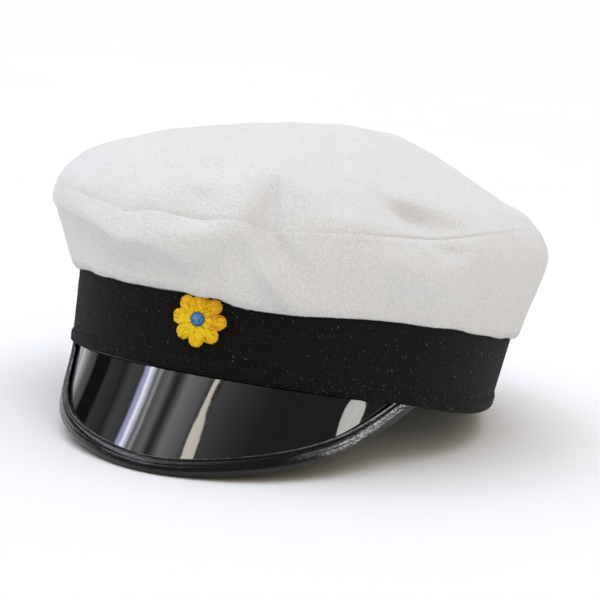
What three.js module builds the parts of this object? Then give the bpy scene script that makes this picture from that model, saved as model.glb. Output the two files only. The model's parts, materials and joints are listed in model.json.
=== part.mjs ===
// Student cap: a soft white crown sewn from a side panel and a top panel, a black velvet band,
// a patent peak with a bound edge and an embroidered flower cockade at the front.
// Millimetres, +Z up. The pieces are drawn with the band level and the front towards -Y,
// then the cap is tipped back on to its peak and the rear of its band, as it rests by itself.
import * as THREE from 'three';

// Gap between neighbouring pieces
const GAP = 0.3;

// Sections round the head: closer together round the front, where the crown has its folds
const FRONT_HALF_ANGLE = 105;
const FRONT_SECTIONS = 58;
const REAR_SECTIONS = 18;

// Small rounding of cut edges, and how far a round corner's middle stands in, as a share of its radius
const EDGE_ROUND = 0.4;
const CORNER_INSET = 1 - Math.SQRT1_2;

// Band: an oval for a head of about 57 cm, leaning outward a little, with a rolled lower hem
const BAND_HALF_WIDTH = 86;
const BAND_HALF_LENGTH = 101.5;
const BAND_HEIGHT = 28.7;
const BAND_WALL = 2;
const BAND_LEAN = 0.05;
const HEM_HEIGHT = 5.2;
const HEM_SWELL = 0.75;
const HEM_ROUND = 1.5;

// Dent of the hem on the wearer's left, which fades out up to the crown: mm, degrees
const HEM_DENT = 2.6;
const HEM_DENT_ANGLE = 112;
const HEM_DENT_SPAN = 24;

// Waves of the line where the crown meets the band: a row for each wave, span in degrees, mm
const CROWN_LINE_WAVES = [
  { angle: -42, span: 17, lower: -1.1 },
  { angle: -12.5, span: 4, lower: 0.3 },
  { angle: -3.5, span: 3, lower: -0.7 },
  { angle: 3.4, span: 2.6, lower: -1.5 },
  { angle: 14, span: 13, lower: 1.9 },
  { angle: 53, span: 22, lower: -1.8 },
];

// Waves of the top seam, and of the band's lower hem, in the same way
const SEAM_WAVES = [
  { angle: -17, span: 5, lower: 2.2 },
  { angle: -10, span: 4, lower: -0.7 },
  { angle: 6, span: 5, lower: -1.3 },
  { angle: 16, span: 5, lower: 0.7 },
];
const HEM_WAVES = [
  { angle: 80, span: 28, lower: 2.4 },
];

// Crown cloth, the roll of its lower edge over the band, and the edge tucked inside the band
const CLOTH = 1.8;
const ROLL_OUT = 2.3;
const ROLL_HEIGHT = 3;
const TUCK_DEPTH = 10;
const TUCK_WALL = 1.2;
const TOP_EDGE_WALL = 2.2;

// Side panel: a straight flare that turns upright only near its widest line
const FLARE_SHARPNESS = 9;

// Crown sections by the angle from the front towards the wearer's left, in degrees.
// swell: reach of the widest line beyond the band; swellUp: height of that line above the band;
// inset: step back from it to the top seam; seamUp: height of the seam above the band;
// full: roundness of the top panel there, from 0, a straight slope, to 1, a quarter round
const CROWN_SECTIONS = [
  { angle: -180, swell: 11, swellUp: 33, inset: 2.5, seamUp: 42, full: 0.35 },
  { angle: -135, swell: 13, swellUp: 31, inset: 1.5, seamUp: 37, full: 0.65 },
  { angle: -90, swell: 14.8, swellUp: 30, inset: 1.5, seamUp: 36.5, full: 0.83 },
  { angle: -45, swell: 15.4, swellUp: 28.5, inset: 1, seamUp: 32.3, full: 0.76 },
  { angle: 0, swell: 13.8, swellUp: 23.5, inset: 1.8, seamUp: 29, full: 0.72 },
  { angle: 45, swell: 10.3, swellUp: 29, inset: 3.7, seamUp: 35, full: 0.35 },
  { angle: 90, swell: 9.6, swellUp: 33.5, inset: 5.8, seamUp: 44.6, full: 0.06 },
  { angle: 135, swell: 9.8, swellUp: 34, inset: 4.4, seamUp: 42.6, full: 0.19 },
];

// Highest point of the top panel, left of and behind the middle, and the roundness of its tip
const APEX_X = 20.8;
const APEX_Y = 4;
const APEX_UP = 75;
const APEX_ROUNDNESS = 0.25;

// Folds of the crown: angle and height over the seam at the fold's middle, slope in mm per degree,
// span in degrees, reach over and under its line in mm, and push in mm, outward positive
const CROWN_FOLDS = [
  { angle: -74, up: 13, slope: 0, span: 20, over: 11, under: 8, push: 1.6 },
  { angle: -40, up: -11, slope: -0.1, span: 16, over: 1.5, under: 10.5, push: -3.6 },
  { angle: -27, up: -26, slope: -0.25, span: 16, over: 7, under: 6.3, push: -3.2 },
  { angle: -21.5, up: -16.8, slope: -0.3, span: 12.5, over: 1.3, under: 6, push: -4.7 },
  { angle: -15.7, up: -12.1, slope: -0.27, span: 16, over: 5, under: 3.7, push: 4.5 },
  { angle: -10, up: -17, slope: -0.4, span: 6.3, over: 2.2, under: 5.2, push: -1.6 },
  { angle: -3.5, up: -8.5, slope: -0.05, span: 8.5, over: 5.7, under: 8.2, push: 3.6 },
  { angle: -2, up: 2.2, slope: -0.4, span: 3.8, over: 4, under: 4.8, push: -3.4 },
  { angle: 11.2, up: -9, slope: 0.45, span: 6.7, over: 8.5, under: 9.3, push: -5 },
  { angle: 11.7, up: 4, slope: -1.8, span: 2.5, over: 6.3, under: 7, push: -4.8 },
  { angle: 12, up: 17.8, slope: -1.2, span: 6.7, over: 6.2, under: 6, push: 4.9 },
  { angle: 14.6, up: -19.3, slope: -2.5, span: 7.8, over: 5.6, under: 8.3, push: 5.2 },
  { angle: 16.2, up: -7.6, slope: -1.9, span: 6, over: 7.6, under: 7.6, push: -3.9 },
  { angle: 32, up: -4.7, slope: 0, span: 12.3, over: 3.5, under: 11.5, push: -3.6 },
  { angle: 43, up: -14, slope: -0.6, span: 13, over: 7, under: 7.6, push: 5.1 },
  { angle: 43.5, up: 9.6, slope: -0.5, span: 7.4, over: 4.2, under: 5, push: -5.2 },
  { angle: 47.5, up: 3, slope: -0.25, span: 12, over: 6, under: 5.5, push: -5.6 },
  { angle: 54, up: -5, slope: -0.2, span: 6, over: 3.3, under: 5, push: -4.4 },
  { angle: 77, up: -4.5, slope: 0.2, span: 12, over: 7.5, under: 9.4, push: -2.6 },
  { angle: 106, up: 8, slope: 0, span: 18, over: 7, under: 5, push: 2.2 },
];

// Height over the band in which the folds fade out, and the height above the band of the place in
// the crown's hollow that the folds push away from
const FOLD_FADE = 6;
const CROWN_MIDDLE_UP = 10;

// Rows of points down the side panel, and rings of points out over the top panel
const SIDE_ROWS = 10;
const TOP_RINGS = 10;

// Peak: straight lines fanning out from the band's lower front edge, longest near the middle, a little
// longer on the wearer's right, and steeper towards its ends, with a flange sewn inside the band
const PEAK_END_ANGLE = 55;
const PEAK_LENGTH = 45.6;
const PEAK_TAPER = 1.27;
const PEAK_SKEW = 0.05;
const PEAK_BLUNTNESS = 0.12;
const PEAK_SLOPE = 52.5;
const PEAK_SLOPE_GAIN = 40;
const PEAK_FAN_Y = -27.9;
const PEAK_END_TUCK = 2.1;
const PEAK_SHEET = 1.6;
const PEAK_FLANGE_HEIGHT = 9;
const PEAK_FLANGE_WALL = 1.2;
const PEAK_FLANGE_EASE = 0.45;
const PEAK_LAST_SHARE = 0.95;
const PEAK_STEPS = 44;
const PEAK_ROWS = 4;

// Binding folded over the peak's edge
const BINDING_WIDTH = 4.8;
const BINDING_LEAST_WIDTH = 0.6;
const BINDING_WALL = 1;
const BINDING_EASE = 0.4;
const BINDING_LAST_SHARE = 0.925;

// Cockade: an embroidered flower on the band's front, with a round centre
const FLOWER_ACROSS = 0.4;
const FLOWER_UP = 20.3;
const FLOWER_RADIUS = 10.9;
const FLOWER_LOBES = 8;
const LOBE_SHARE = 0.28;
const FLOWER_EDGE = 1;
const FLOWER_THICKNESS = 2.2;
const FLOWER_SHOULDER = 0.8;
const FLOWER_BACK_RING = 0.5;
const FLOWER_STEPS_PER_LOBE = 8;
const CENTRE_RADIUS = 2.7;
const CENTRE_MARGIN = 0.6;
const CENTRE_RISE = 1.2;
const CENTRE_STEPS = 20;

// Rings of the cockade's centre, as shares of its radius and of its rise
const CENTRE_RINGS = [
  { radius: 0.9, rise: 0 },
  { radius: 1, rise: 0.3 },
  { radius: 0.75, rise: 0.8 },
];

// How far the soft hem and binding are pressed flat where the cap rests
const PRESSED_FLAT = 0.7;

// Steepest tip that is looked at for the resting cap, and how finely it is found, in radians
const MOST_TIP = Math.PI / 4;
const TIP_PRECISION = 1e-7;

// Materials, with the colours of the real cap
const VELOUR = { color: 0xe6e5e3, roughness: 0.95, metalness: 0 };
const VELVET = { color: 0x161412, roughness: 0.9, metalness: 0 };
const PATENT = { color: 0x0b0b0c, roughness: 0.08, metalness: 0 };
const BINDING = { color: 0x101011, roughness: 0.4, metalness: 0 };
const YELLOW_THREAD = { color: 0xf0bc14, roughness: 0.7, metalness: 0 };
const BLUE_THREAD = { color: 0x3f80b8, roughness: 0.7, metalness: 0 };

const radians = THREE.MathUtils.degToRad;

// Point at an angle from the front, a distance from the cap's axis and a height
function polar(angle, radius, up) {
  const turn = radians(angle);
  return new THREE.Vector3(radius * Math.sin(turn), -radius * Math.cos(turn), up);
}

// Distance of the band's outer face from the cap's axis
function bandRadius(angle, up) {
  const turn = radians(angle);
  const oval = 1 / Math.hypot(Math.sin(turn) / BAND_HALF_WIDTH, Math.cos(turn) / BAND_HALF_LENGTH);
  const dent = HEM_DENT * Math.exp(-((turnBetween(HEM_DENT_ANGLE, angle) / HEM_DENT_SPAN) ** 2));
  return oval + BAND_LEAN * up - dent * Math.max(0, 1 - up / BAND_HEIGHT);
}

// Shorter turn from one angle to another, in degrees
function turnBetween(from, to) {
  return THREE.MathUtils.euclideanModulo(to - from + 180, 360) - 180;
}

// Drop of a wavy line at an angle
function waveDrop(waves, angle) {
  let drop = 0;
  for (const wave of waves) {
    drop += wave.lower * Math.exp(-((turnBetween(wave.angle, angle) / wave.span) ** 2));
  }
  return drop;
}

// Height of the line where the crown meets the band
function crownLine(angle) {
  return BAND_HEIGHT - waveDrop(CROWN_LINE_WAVES, angle);
}

// Height of the band's lower edge
function hemLine(angle) {
  return -waveDrop(HEM_WAVES, angle);
}

// Height of the seam between the crown's panels
function seamLine(angle) {
  return BAND_HEIGHT + crownValue('seamUp', angle) - waveDrop(SEAM_WAVES, angle);
}

// Smooth value of a column of the crown sections at any angle, by a closed cubic through the rows
function crownValue(column, angle) {
  const count = CROWN_SECTIONS.length;
  const place = (angle - CROWN_SECTIONS[0].angle) * count / 360;
  const first = Math.floor(place);
  const share = place - first;
  const near = [-1, 0, 1, 2].map((k) => {
    return CROWN_SECTIONS[THREE.MathUtils.euclideanModulo(first + k, count)][column];
  });
  const [a, b, c, d] = near;
  const cubic = 3 * (b - c) + d - a;
  const square = 2 * a - 5 * b + 4 * c - d;
  return b + 0.5 * share * (c - a + share * (square + share * cubic));
}

// Push of the crown's folds at an angle and a height over the seam, measured along the cloth
function foldPush(angle, above) {
  let push = 0;
  for (const fold of CROWN_FOLDS) {
    const along = turnBetween(fold.angle, angle);
    const across = above - fold.up - fold.slope * along;
    const reach = across > 0 ? fold.over : fold.under;
    push += fold.push * Math.exp(-((along / fold.span) ** 2) - (across / reach) ** 2);
  }
  return push;
}

// Point of the crown pushed away from its middle
function pushed(point, push) {
  const middle = new THREE.Vector3(0, 0, BAND_HEIGHT + CROWN_MIDDLE_UP);
  const outward = point.clone().sub(middle).normalize();
  return point.addScaledVector(outward, push);
}

// Geometry of a closed mesh, turned so that its faces point outward
function closedGeometry(points, triangles) {
  const cross = new THREE.Vector3();
  let volume = 0;
  for (const [a, b, c] of triangles) {
    volume += points[a].dot(cross.crossVectors(points[b], points[c])) / 6;
  }
  const outward = volume > 0 ? triangles : triangles.map(([a, b, c]) => [a, c, b]);
  const geometry = new THREE.BufferGeometry().setFromPoints(points);
  geometry.setIndex(outward.flat());
  geometry.computeVertexNormals();
  return geometry;
}

// Triangles between two loops of points that start at two places in the list
function joinLoops(triangles, first, second, count) {
  for (let i = 0; i < count; i += 1) {
    const next = (i + 1) % count;
    triangles.push([first + i, first + next, second + next]);
    triangles.push([first + i, second + next, second + i]);
  }
}

// Ring or bar made of section loops: a ring joins its last loop to its first, and a bar has ends
function loopedGeometry(loops, closed) {
  const count = loops[0].length;
  const triangles = [];
  const last = loops.length - 1;
  for (let k = 0; k < last; k += 1) {
    joinLoops(triangles, k * count, (k + 1) * count, count);
  }
  if (closed) {
    joinLoops(triangles, last * count, 0, count);
  } else {
    addEnd(triangles, loops[0], 0, true);
    addEnd(triangles, loops[last], last * count, false);
  }
  return closedGeometry(loops.flat(), triangles);
}

// Flat end of a bar: its loop is seen along the bar and cut into triangles
function addEnd(triangles, loop, start, flipped) {
  const middle = new THREE.Vector3();
  const normal = new THREE.Vector3();
  const step = new THREE.Vector3();
  loop.forEach((point) => middle.addScaledVector(point, 1 / loop.length));
  loop.forEach((point, i) => {
    const next = loop[(i + 1) % loop.length];
    normal.add(step.crossVectors(point.clone().sub(middle), next.clone().sub(middle)));
  });
  normal.normalize();
  const across = loop[1].clone().sub(loop[0]).projectOnPlane(normal).normalize();
  const upward = normal.clone().cross(across);
  const outline = loop.map((point) => new THREE.Vector2(point.dot(across), point.dot(upward)));
  for (const [a, b, c] of THREE.ShapeUtils.triangulateShape(outline, [])) {
    triangles.push(flipped ? [start + a, start + c, start + b] : [start + a, start + b, start + c]);
  }
}

// Lens made of rings of points between two poles
function polarGeometry(firstPole, rings, lastPole) {
  const count = rings[0].length;
  const points = [...rings.flat(), firstPole, lastPole];
  const triangles = [];
  for (let k = 0; k < rings.length - 1; k += 1) {
    joinLoops(triangles, k * count, (k + 1) * count, count);
  }
  const lastRing = (rings.length - 1) * count;
  for (let i = 0; i < count; i += 1) {
    const next = (i + 1) % count;
    triangles.push([points.length - 2, next, i]);
    triangles.push([points.length - 1, lastRing + i, lastRing + next]);
  }
  return closedGeometry(points, triangles);
}

// Angles of the sections all the way round, from one end of the front to the other and back behind
function anglesAround() {
  const frontStep = 2 * FRONT_HALF_ANGLE / FRONT_SECTIONS;
  const rearStep = (360 - 2 * FRONT_HALF_ANGLE) / REAR_SECTIONS;
  const front = Array.from({ length: FRONT_SECTIONS }, (_, k) => k * frontStep - FRONT_HALF_ANGLE);
  const rear = Array.from({ length: REAR_SECTIONS }, (_, k) => k * rearStep + FRONT_HALF_ANGLE);
  return [...front, ...rear];
}

// Band: a wall with a rounded top edge and a swollen, rounded hem
function bandGeometry() {
  const loops = anglesAround().map((angle) => {
    const top = crownLine(angle);
    const hem = hemLine(angle);
    const corner = HEM_ROUND * CORNER_INSET;
    const section = [
      { out: HEM_SWELL - HEM_ROUND, up: hem },
      { out: HEM_SWELL - corner, up: hem + corner },
      { out: HEM_SWELL, up: hem + HEM_ROUND },
      { out: HEM_SWELL, up: hem + HEM_HEIGHT - HEM_ROUND },
      { out: 0, up: hem + HEM_HEIGHT },
      { out: 0, up: top / 2 },
      { out: 0, up: top - EDGE_ROUND },
      { out: -EDGE_ROUND, up: top },
      { out: EDGE_ROUND - BAND_WALL, up: top },
      { out: -BAND_WALL, up: top - EDGE_ROUND },
      { out: -BAND_WALL, up: hem + EDGE_ROUND },
      { out: EDGE_ROUND - BAND_WALL, up: hem },
    ];
    return section.map(({ out, up }) => polar(angle, bandRadius(angle, up) + out, up));
  });
  return loopedGeometry(loops, true);
}

// Outer distance of the side panel from the axis at a share of its height, before its folds
function sideRadius(angle, share) {
  const swell = crownValue('swell', angle);
  const up = share * crownValue('seamUp', angle);
  const rise = up / crownValue('swellUp', angle);
  const start = bandRadius(angle, BAND_HEIGHT) + ROLL_OUT;
  let flare = (FLARE_SHARPNESS * rise - rise ** FLARE_SHARPNESS) / (FLARE_SHARPNESS - 1);
  let inset = 0;
  if (rise > 1) {
    const past = (rise - 1) / (crownValue('seamUp', angle) / crownValue('swellUp', angle) - 1);
    flare = 1;
    inset = crownValue('inset', angle) * past ** 2;
  }
  return start + (swell - ROLL_OUT) * flare - inset;
}

// Point of the side panel at a share of its height and a distance inward; its folds fade out at the band
function sidePoint(angle, share, inward) {
  const height = seamLine(angle) - crownLine(angle);
  const seamGap = share === 1 ? GAP / 2 : 0;
  const up = crownLine(angle) + share * height - seamGap;
  const fade = 1 - Math.exp(-((share * height / FOLD_FADE) ** 2));
  const place = polar(angle, sideRadius(angle, share) - inward, up);
  return pushed(place, foldPush(angle, (share - 1) * height) * fade);
}

// Side panel: its lower edge rolls over the top of the band and is tucked inside it
function crownSideGeometry() {
  const shares = Array.from({ length: SIDE_ROWS }, (_, k) => (k + 1) / SIDE_ROWS);
  const loops = anglesAround().map((angle) => {
    const base = crownLine(angle) + GAP;
    const band = bandRadius(angle, base);
    const tuck = (up, wall) => polar(angle, bandRadius(angle, up) - BAND_WALL - GAP - wall, up);
    const outer = [
      polar(angle, band + GAP, base),
      polar(angle, band + ROLL_OUT * (1 - CORNER_INSET), base + ROLL_HEIGHT * CORNER_INSET),
    ];
    const inner = [];
    for (const share of shares) {
      outer.push(sidePoint(angle, share, 0));
      inner.unshift(sidePoint(angle, share, CLOTH));
    }
    const tucked = [
      tuck(base, TUCK_WALL).setZ(base + CLOTH),
      tuck(base - TUCK_DEPTH, TUCK_WALL),
      tuck(base - TUCK_DEPTH, 0),
      tuck(base, 0),
    ];
    return [...outer, ...inner, ...tucked];
  });
  return loopedGeometry(loops, true);
}

// Rise of the top panel at a share of the way from its highest point to the seam
function domeRise(share, full) {
  const tip = APEX_ROUNDNESS;
  const slope = (Math.hypot(share, tip) - tip) / (Math.hypot(1, tip) - tip);
  return (1 - full) * (1 - slope) + full * Math.sqrt(Math.max(0, 1 - share ** 2));
}

// Point of the top panel; inward and lower bring the outer face in to the inner one
function topPoint(angle, share, inward, lower) {
  const seam = seamLine(angle) + GAP / 2;
  const edge = polar(angle, sideRadius(angle, 1) - inward, seam);
  const x = THREE.MathUtils.lerp(APEX_X, edge.x, share);
  const y = THREE.MathUtils.lerp(APEX_Y, edge.y, share);
  const rise = BAND_HEIGHT + APEX_UP - lower - seam;
  const up = seam + rise * domeRise(share, crownValue('full', angle));
  const run = edge.distanceTo(new THREE.Vector3(APEX_X, APEX_Y, BAND_HEIGHT + APEX_UP));
  return pushed(new THREE.Vector3(x, y, up), foldPush(angle, (1 - share) * run));
}

// Top panel: a soft dome, highest away from the side it slumps to
function crownTopGeometry() {
  const shares = Array.from({ length: TOP_RINGS }, (_, k) => Math.sin((k + 1) / TOP_RINGS * Math.PI / 2));
  const ring = (share, inward, lower) => {
    return anglesAround().map((angle) => topPoint(angle, share, inward, lower));
  };
  const outer = shares.map((share) => ring(share, 0, 0));
  const inner = shares.map((share) => ring(share, TOP_EDGE_WALL, CLOTH)).reverse();
  const outerPole = topPoint(0, 0, 0, 0);
  const innerPole = topPoint(0, 0, 0, CLOTH);
  return polarGeometry(outerPole, [...outer, ...inner], innerPole);
}

// Length of the peak along its fan line at a share of the way from its middle to an end
function peakLength(share) {
  const soft = (value) => Math.hypot(value, PEAK_BLUNTNESS) ** PEAK_TAPER - PEAK_BLUNTNESS ** PEAK_TAPER;
  return PEAK_LENGTH * (1 - soft(share) / soft(1)) * (1 - PEAK_SKEW * share);
}

// Fan line of the peak's upper face: where it leaves the band, its direction and the face's normal
function peakLine(share) {
  const angle = share * PEAK_END_ANGLE;
  const slope = radians(PEAK_SLOPE + PEAK_SLOPE_GAIN * share ** 2);
  const tucked = GAP + PEAK_END_TUCK * share ** 2;
  const root = polar(angle, bandRadius(angle, 0) - tucked, hemLine(angle) - GAP);
  const outward = new THREE.Vector3(root.x, root.y - PEAK_FAN_Y, 0).normalize();
  const upward = new THREE.Vector3(0, 0, 1);
  const along = outward.clone().multiplyScalar(Math.cos(slope)).addScaledVector(upward, -Math.sin(slope));
  const normal = outward.clone().multiplyScalar(Math.sin(slope)).addScaledVector(upward, Math.cos(slope));
  return { angle, root, along, normal };
}

// Length of the bare sheet, which ends inside the binding's fold
function sheetLength(share) {
  return peakLength(share) - BINDING_WALL - BINDING_EASE;
}

// Point on the edge of the sheet's upper face
function sheetEdge(share) {
  const { root, along } = peakLine(share);
  return root.clone().addScaledVector(along, sheetLength(share));
}

// Peak: a patent sheet with a flange that stands up inside the band
function peakGeometry() {
  const loops = [];
  for (let k = 0; k <= PEAK_STEPS; k += 1) {
    const share = PEAK_LAST_SHARE * (2 * k / PEAK_STEPS - 1);
    const { angle, root, along, normal } = peakLine(share);
    const flangeOuter = bandRadius(angle, 0) - BAND_WALL - PEAK_FLANGE_EASE;
    const flangeInner = flangeOuter - PEAK_FLANGE_WALL;
    const loop = [
      polar(angle, flangeOuter + BAND_LEAN * PEAK_FLANGE_HEIGHT, PEAK_FLANGE_HEIGHT),
      polar(angle, flangeOuter, root.z),
    ];
    const length = sheetLength(share);
    for (let row = 0; row <= PEAK_ROWS; row += 1) {
      loop.push(root.clone().addScaledVector(along, length * row / PEAK_ROWS));
    }
    for (let row = PEAK_ROWS; row >= 0; row -= 1) {
      const reach = Math.max(length * row / PEAK_ROWS, PEAK_SHEET);
      loop.push(root.clone().addScaledVector(along, reach).addScaledVector(normal, -PEAK_SHEET));
    }
    loop.push(polar(angle, flangeInner, root.z - PEAK_SHEET));
    loop.push(polar(angle, flangeInner + BAND_LEAN * PEAK_FLANGE_HEIGHT, PEAK_FLANGE_HEIGHT));
    loops.push(loop);
  }
  return loopedGeometry(loops, false);
}

// Binding: a strip folded over the sheet's edge, narrowing where the peak runs out
function bindingGeometry() {
  const loops = [];
  const nudge = 0.5 / PEAK_STEPS;
  for (let k = 0; k <= PEAK_STEPS; k += 1) {
    const share = BINDING_LAST_SHARE * (2 * k / PEAK_STEPS - 1);
    const { along, normal } = peakLine(share);
    const edge = sheetEdge(share);
    const tangent = sheetEdge(share + nudge).sub(sheetEdge(share - nudge)).normalize();
    const outward = along.clone().projectOnPlane(tangent).normalize();
    const face = outward.clone().cross(tangent);
    if (face.dot(normal) < 0) {
      face.negate();
    }
    const room = sheetLength(share) - PEAK_SHEET - BINDING_EASE;
    const width = THREE.MathUtils.clamp(room, BINDING_LEAST_WIDTH, BINDING_WIDTH);
    const low = -PEAK_SHEET - BINDING_EASE;
    const corner = BINDING_WALL * CORNER_INSET;
    const round = BINDING_EASE + BINDING_WALL - corner;
    const section = [
      { out: -width, up: BINDING_EASE },
      { out: BINDING_EASE, up: BINDING_EASE },
      { out: BINDING_EASE, up: low },
      { out: -width, up: low },
      { out: -width, up: low - BINDING_WALL },
      { out: BINDING_EASE, up: low - BINDING_WALL },
      { out: round, up: low - corner },
      { out: BINDING_EASE + BINDING_WALL, up: -PEAK_SHEET / 2 },
      { out: round, up: BINDING_EASE + corner },
      { out: BINDING_EASE, up: BINDING_EASE + BINDING_WALL },
      { out: -width, up: BINDING_EASE + BINDING_WALL },
    ];
    loops.push(section.map(({ out, up }) => {
      return edge.clone().addScaledVector(outward, out).addScaledVector(face, up);
    }));
  }
  return loopedGeometry(loops, false);
}

// Angle round the band at a distance across from the flower's middle
function frontAngle(across) {
  return THREE.MathUtils.radToDeg(Math.asin((across + FLOWER_ACROSS) / BAND_HALF_LENGTH));
}

// Point over the front of the band: across and up from the flower's middle, and out from the band
function frontPoint(across, upward, out) {
  const up = FLOWER_UP + upward;
  const angle = frontAngle(across);
  return polar(angle, bandRadius(angle, up) + out, up);
}

// Distance of the flower's edge from its middle: round lobes side by side
function flowerOutline(turn) {
  const pitch = 2 * Math.PI / FLOWER_LOBES;
  const off = THREE.MathUtils.euclideanModulo(turn + pitch / 2, pitch) - pitch / 2;
  const middle = FLOWER_RADIUS * (1 - LOBE_SHARE);
  const lobe = FLOWER_RADIUS * LOBE_SHARE;
  return middle * Math.cos(off) + Math.sqrt(lobe ** 2 - (middle * Math.sin(off)) ** 2);
}

// Ring of points at a share of the flower's outline, kept below the crown's edge
function flowerRing(share, out) {
  const count = FLOWER_LOBES * FLOWER_STEPS_PER_LOBE;
  return Array.from({ length: count }, (_, k) => {
    const turn = k / count * 2 * Math.PI;
    const radius = share * flowerOutline(turn);
    const across = radius * Math.cos(turn);
    const highest = crownLine(frontAngle(across)) - 1.5 * GAP - FLOWER_UP;
    return frontPoint(across, Math.min(radius * Math.sin(turn), highest), out);
  });
}

// Flower: a low cushion of lobes that follows the band, flat in the middle for its centre
function flowerGeometry() {
  const flat = (CENTRE_RADIUS + CENTRE_MARGIN) / FLOWER_RADIUS;
  const rings = [
    flowerRing(FLOWER_BACK_RING, GAP),
    flowerRing(1, GAP),
    flowerRing(1, FLOWER_EDGE),
    flowerRing(FLOWER_SHOULDER, FLOWER_THICKNESS),
    flowerRing(flat, FLOWER_THICKNESS),
  ];
  return polarGeometry(frontPoint(0, 0, GAP), rings, frontPoint(0, 0, FLOWER_THICKNESS));
}

// Centre: a small round button of thread on the flower
function centreGeometry() {
  const seat = FLOWER_THICKNESS + GAP;
  const rings = CENTRE_RINGS.map((row) => Array.from({ length: CENTRE_STEPS }, (_, k) => {
    const turn = k / CENTRE_STEPS * 2 * Math.PI;
    const radius = row.radius * CENTRE_RADIUS;
    const out = seat + row.rise * CENTRE_RISE;
    return frontPoint(radius * Math.cos(turn), radius * Math.sin(turn), out);
  }));
  return polarGeometry(frontPoint(0, 0, seat), rings, frontPoint(0, 0, seat + CENTRE_RISE));
}

// Lowest height of a geometry when the cap is tipped back by an angle
function lowest(geometry, tip) {
  const turn = new THREE.Matrix4().makeRotationX(-tip);
  const turned = geometry.clone().applyMatrix4(turn);
  turned.computeBoundingBox();
  return turned.boundingBox.min.z;
}

// Angle that brings the band's rear hem and the peak's edge down to one level
function restingTip(band, binding) {
  let low = 0;
  let high = MOST_TIP;
  while (high - low > TIP_PRECISION) {
    const tip = (low + high) / 2;
    if (lowest(band, tip) > lowest(binding, tip)) {
      low = tip;
    } else {
      high = tip;
    }
  }
  return (low + high) / 2;
}

// Press flat what lies below the surface that the cap rests on
function pressFlat(geometry) {
  const places = geometry.getAttribute('position');
  for (let i = 0; i < places.count; i += 1) {
    places.setZ(i, Math.max(places.getZ(i), 0));
  }
  geometry.computeVertexNormals();
}

const pieces = [
  { name: 'crown_top', geometry: crownTopGeometry(), finish: VELOUR },
  { name: 'crown_side', geometry: crownSideGeometry(), finish: VELOUR },
  { name: 'band', geometry: bandGeometry(), finish: VELVET },
  { name: 'peak', geometry: peakGeometry(), finish: PATENT },
  { name: 'peak_binding', geometry: bindingGeometry(), finish: BINDING },
  { name: 'cockade_flower', geometry: flowerGeometry(), finish: YELLOW_THREAD },
  { name: 'cockade_centre', geometry: centreGeometry(), finish: BLUE_THREAD },
];

// Tip the cap on to its peak and rear hem, with the origin under the middle of its outline
const geometryOf = (name) => pieces.find((piece) => piece.name === name).geometry;
const tip = restingTip(geometryOf('band'), geometryOf('peak_binding'));
const floor = lowest(geometryOf('band'), tip) + PRESSED_FLAT;
const outline = new THREE.Box3();
for (const { geometry } of pieces) {
  geometry.applyMatrix4(new THREE.Matrix4().makeRotationX(-tip));
  geometry.translate(0, 0, -floor);
  geometry.computeBoundingBox();
  outline.union(geometry.boundingBox);
}
const middle = outline.getCenter(new THREE.Vector3());
pressFlat(geometryOf('band'));
pressFlat(geometryOf('peak_binding'));

const cap = new THREE.Group();
cap.name = 'student_cap';
for (const { name, geometry, finish } of pieces) {
  const mesh = new THREE.Mesh(geometry, new THREE.MeshStandardMaterial(finish));
  mesh.name = name;
  mesh.position.set(-middle.x, -middle.y, 0);
  cap.add(mesh);
}

export default cap;
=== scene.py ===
"""The student cap's looks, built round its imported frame.

Pieces are drawn in millimetres in the cap's own frame: the band's lower edge lies near the plane z = 0,
the front looks towards -Y and +X is the wearer's left. The head opening's mount then sets them in the
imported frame, in metres, where the cap is tipped back and rests on its peak and the rear of its band.
"""

import json
import math

import bpy
import numpy as np
from mathutils import Matrix, Vector


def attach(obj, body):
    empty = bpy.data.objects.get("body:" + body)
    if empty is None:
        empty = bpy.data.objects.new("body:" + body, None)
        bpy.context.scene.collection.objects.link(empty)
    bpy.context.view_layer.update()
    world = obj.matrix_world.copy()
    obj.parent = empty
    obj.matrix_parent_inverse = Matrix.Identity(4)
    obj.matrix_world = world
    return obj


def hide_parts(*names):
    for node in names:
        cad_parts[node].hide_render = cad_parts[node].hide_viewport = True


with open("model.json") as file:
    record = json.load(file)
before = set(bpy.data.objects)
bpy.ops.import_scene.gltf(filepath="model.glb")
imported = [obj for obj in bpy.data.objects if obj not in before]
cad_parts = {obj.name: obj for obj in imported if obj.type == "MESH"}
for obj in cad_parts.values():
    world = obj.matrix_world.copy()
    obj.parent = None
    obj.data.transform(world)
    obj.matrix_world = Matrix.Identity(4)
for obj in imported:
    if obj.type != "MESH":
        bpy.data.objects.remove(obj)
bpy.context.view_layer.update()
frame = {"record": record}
random = np.random.default_rng(7)


def table(columns, *rows):
    """Rows of a table, each with the names of its columns."""
    return [dict(zip(columns.split(), row)) for row in rows]


def grey(tone):
    """A grey as a colour."""
    return (tone, tone, tone)


# A millimetre in metres, and the gap between neighbouring pieces in mm
MM = 0.001
GAP = 0.3

# Points round the head on the panels and on the band, with their angles from the front in degrees, the
# rows of the hidden inner faces, and the angle over which an edge looks sharp
POINTS_AROUND = 760
AROUND = np.linspace(-180, 180, POINTS_AROUND, endpoint=False)
INNER_ROWS = 10
SHARP_ANGLE = 50

# Smooth noise: how many waves make it up, and the spread of their frequencies
RIPPLE_WAVES = 28
RIPPLE_SPREAD = (0.7, 1.4)

# Upward share over which a tube counts as steep, and the reach of a face in its cell of the bake map
STEEP = 0.8
BAKE_REACH = 0.4

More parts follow.
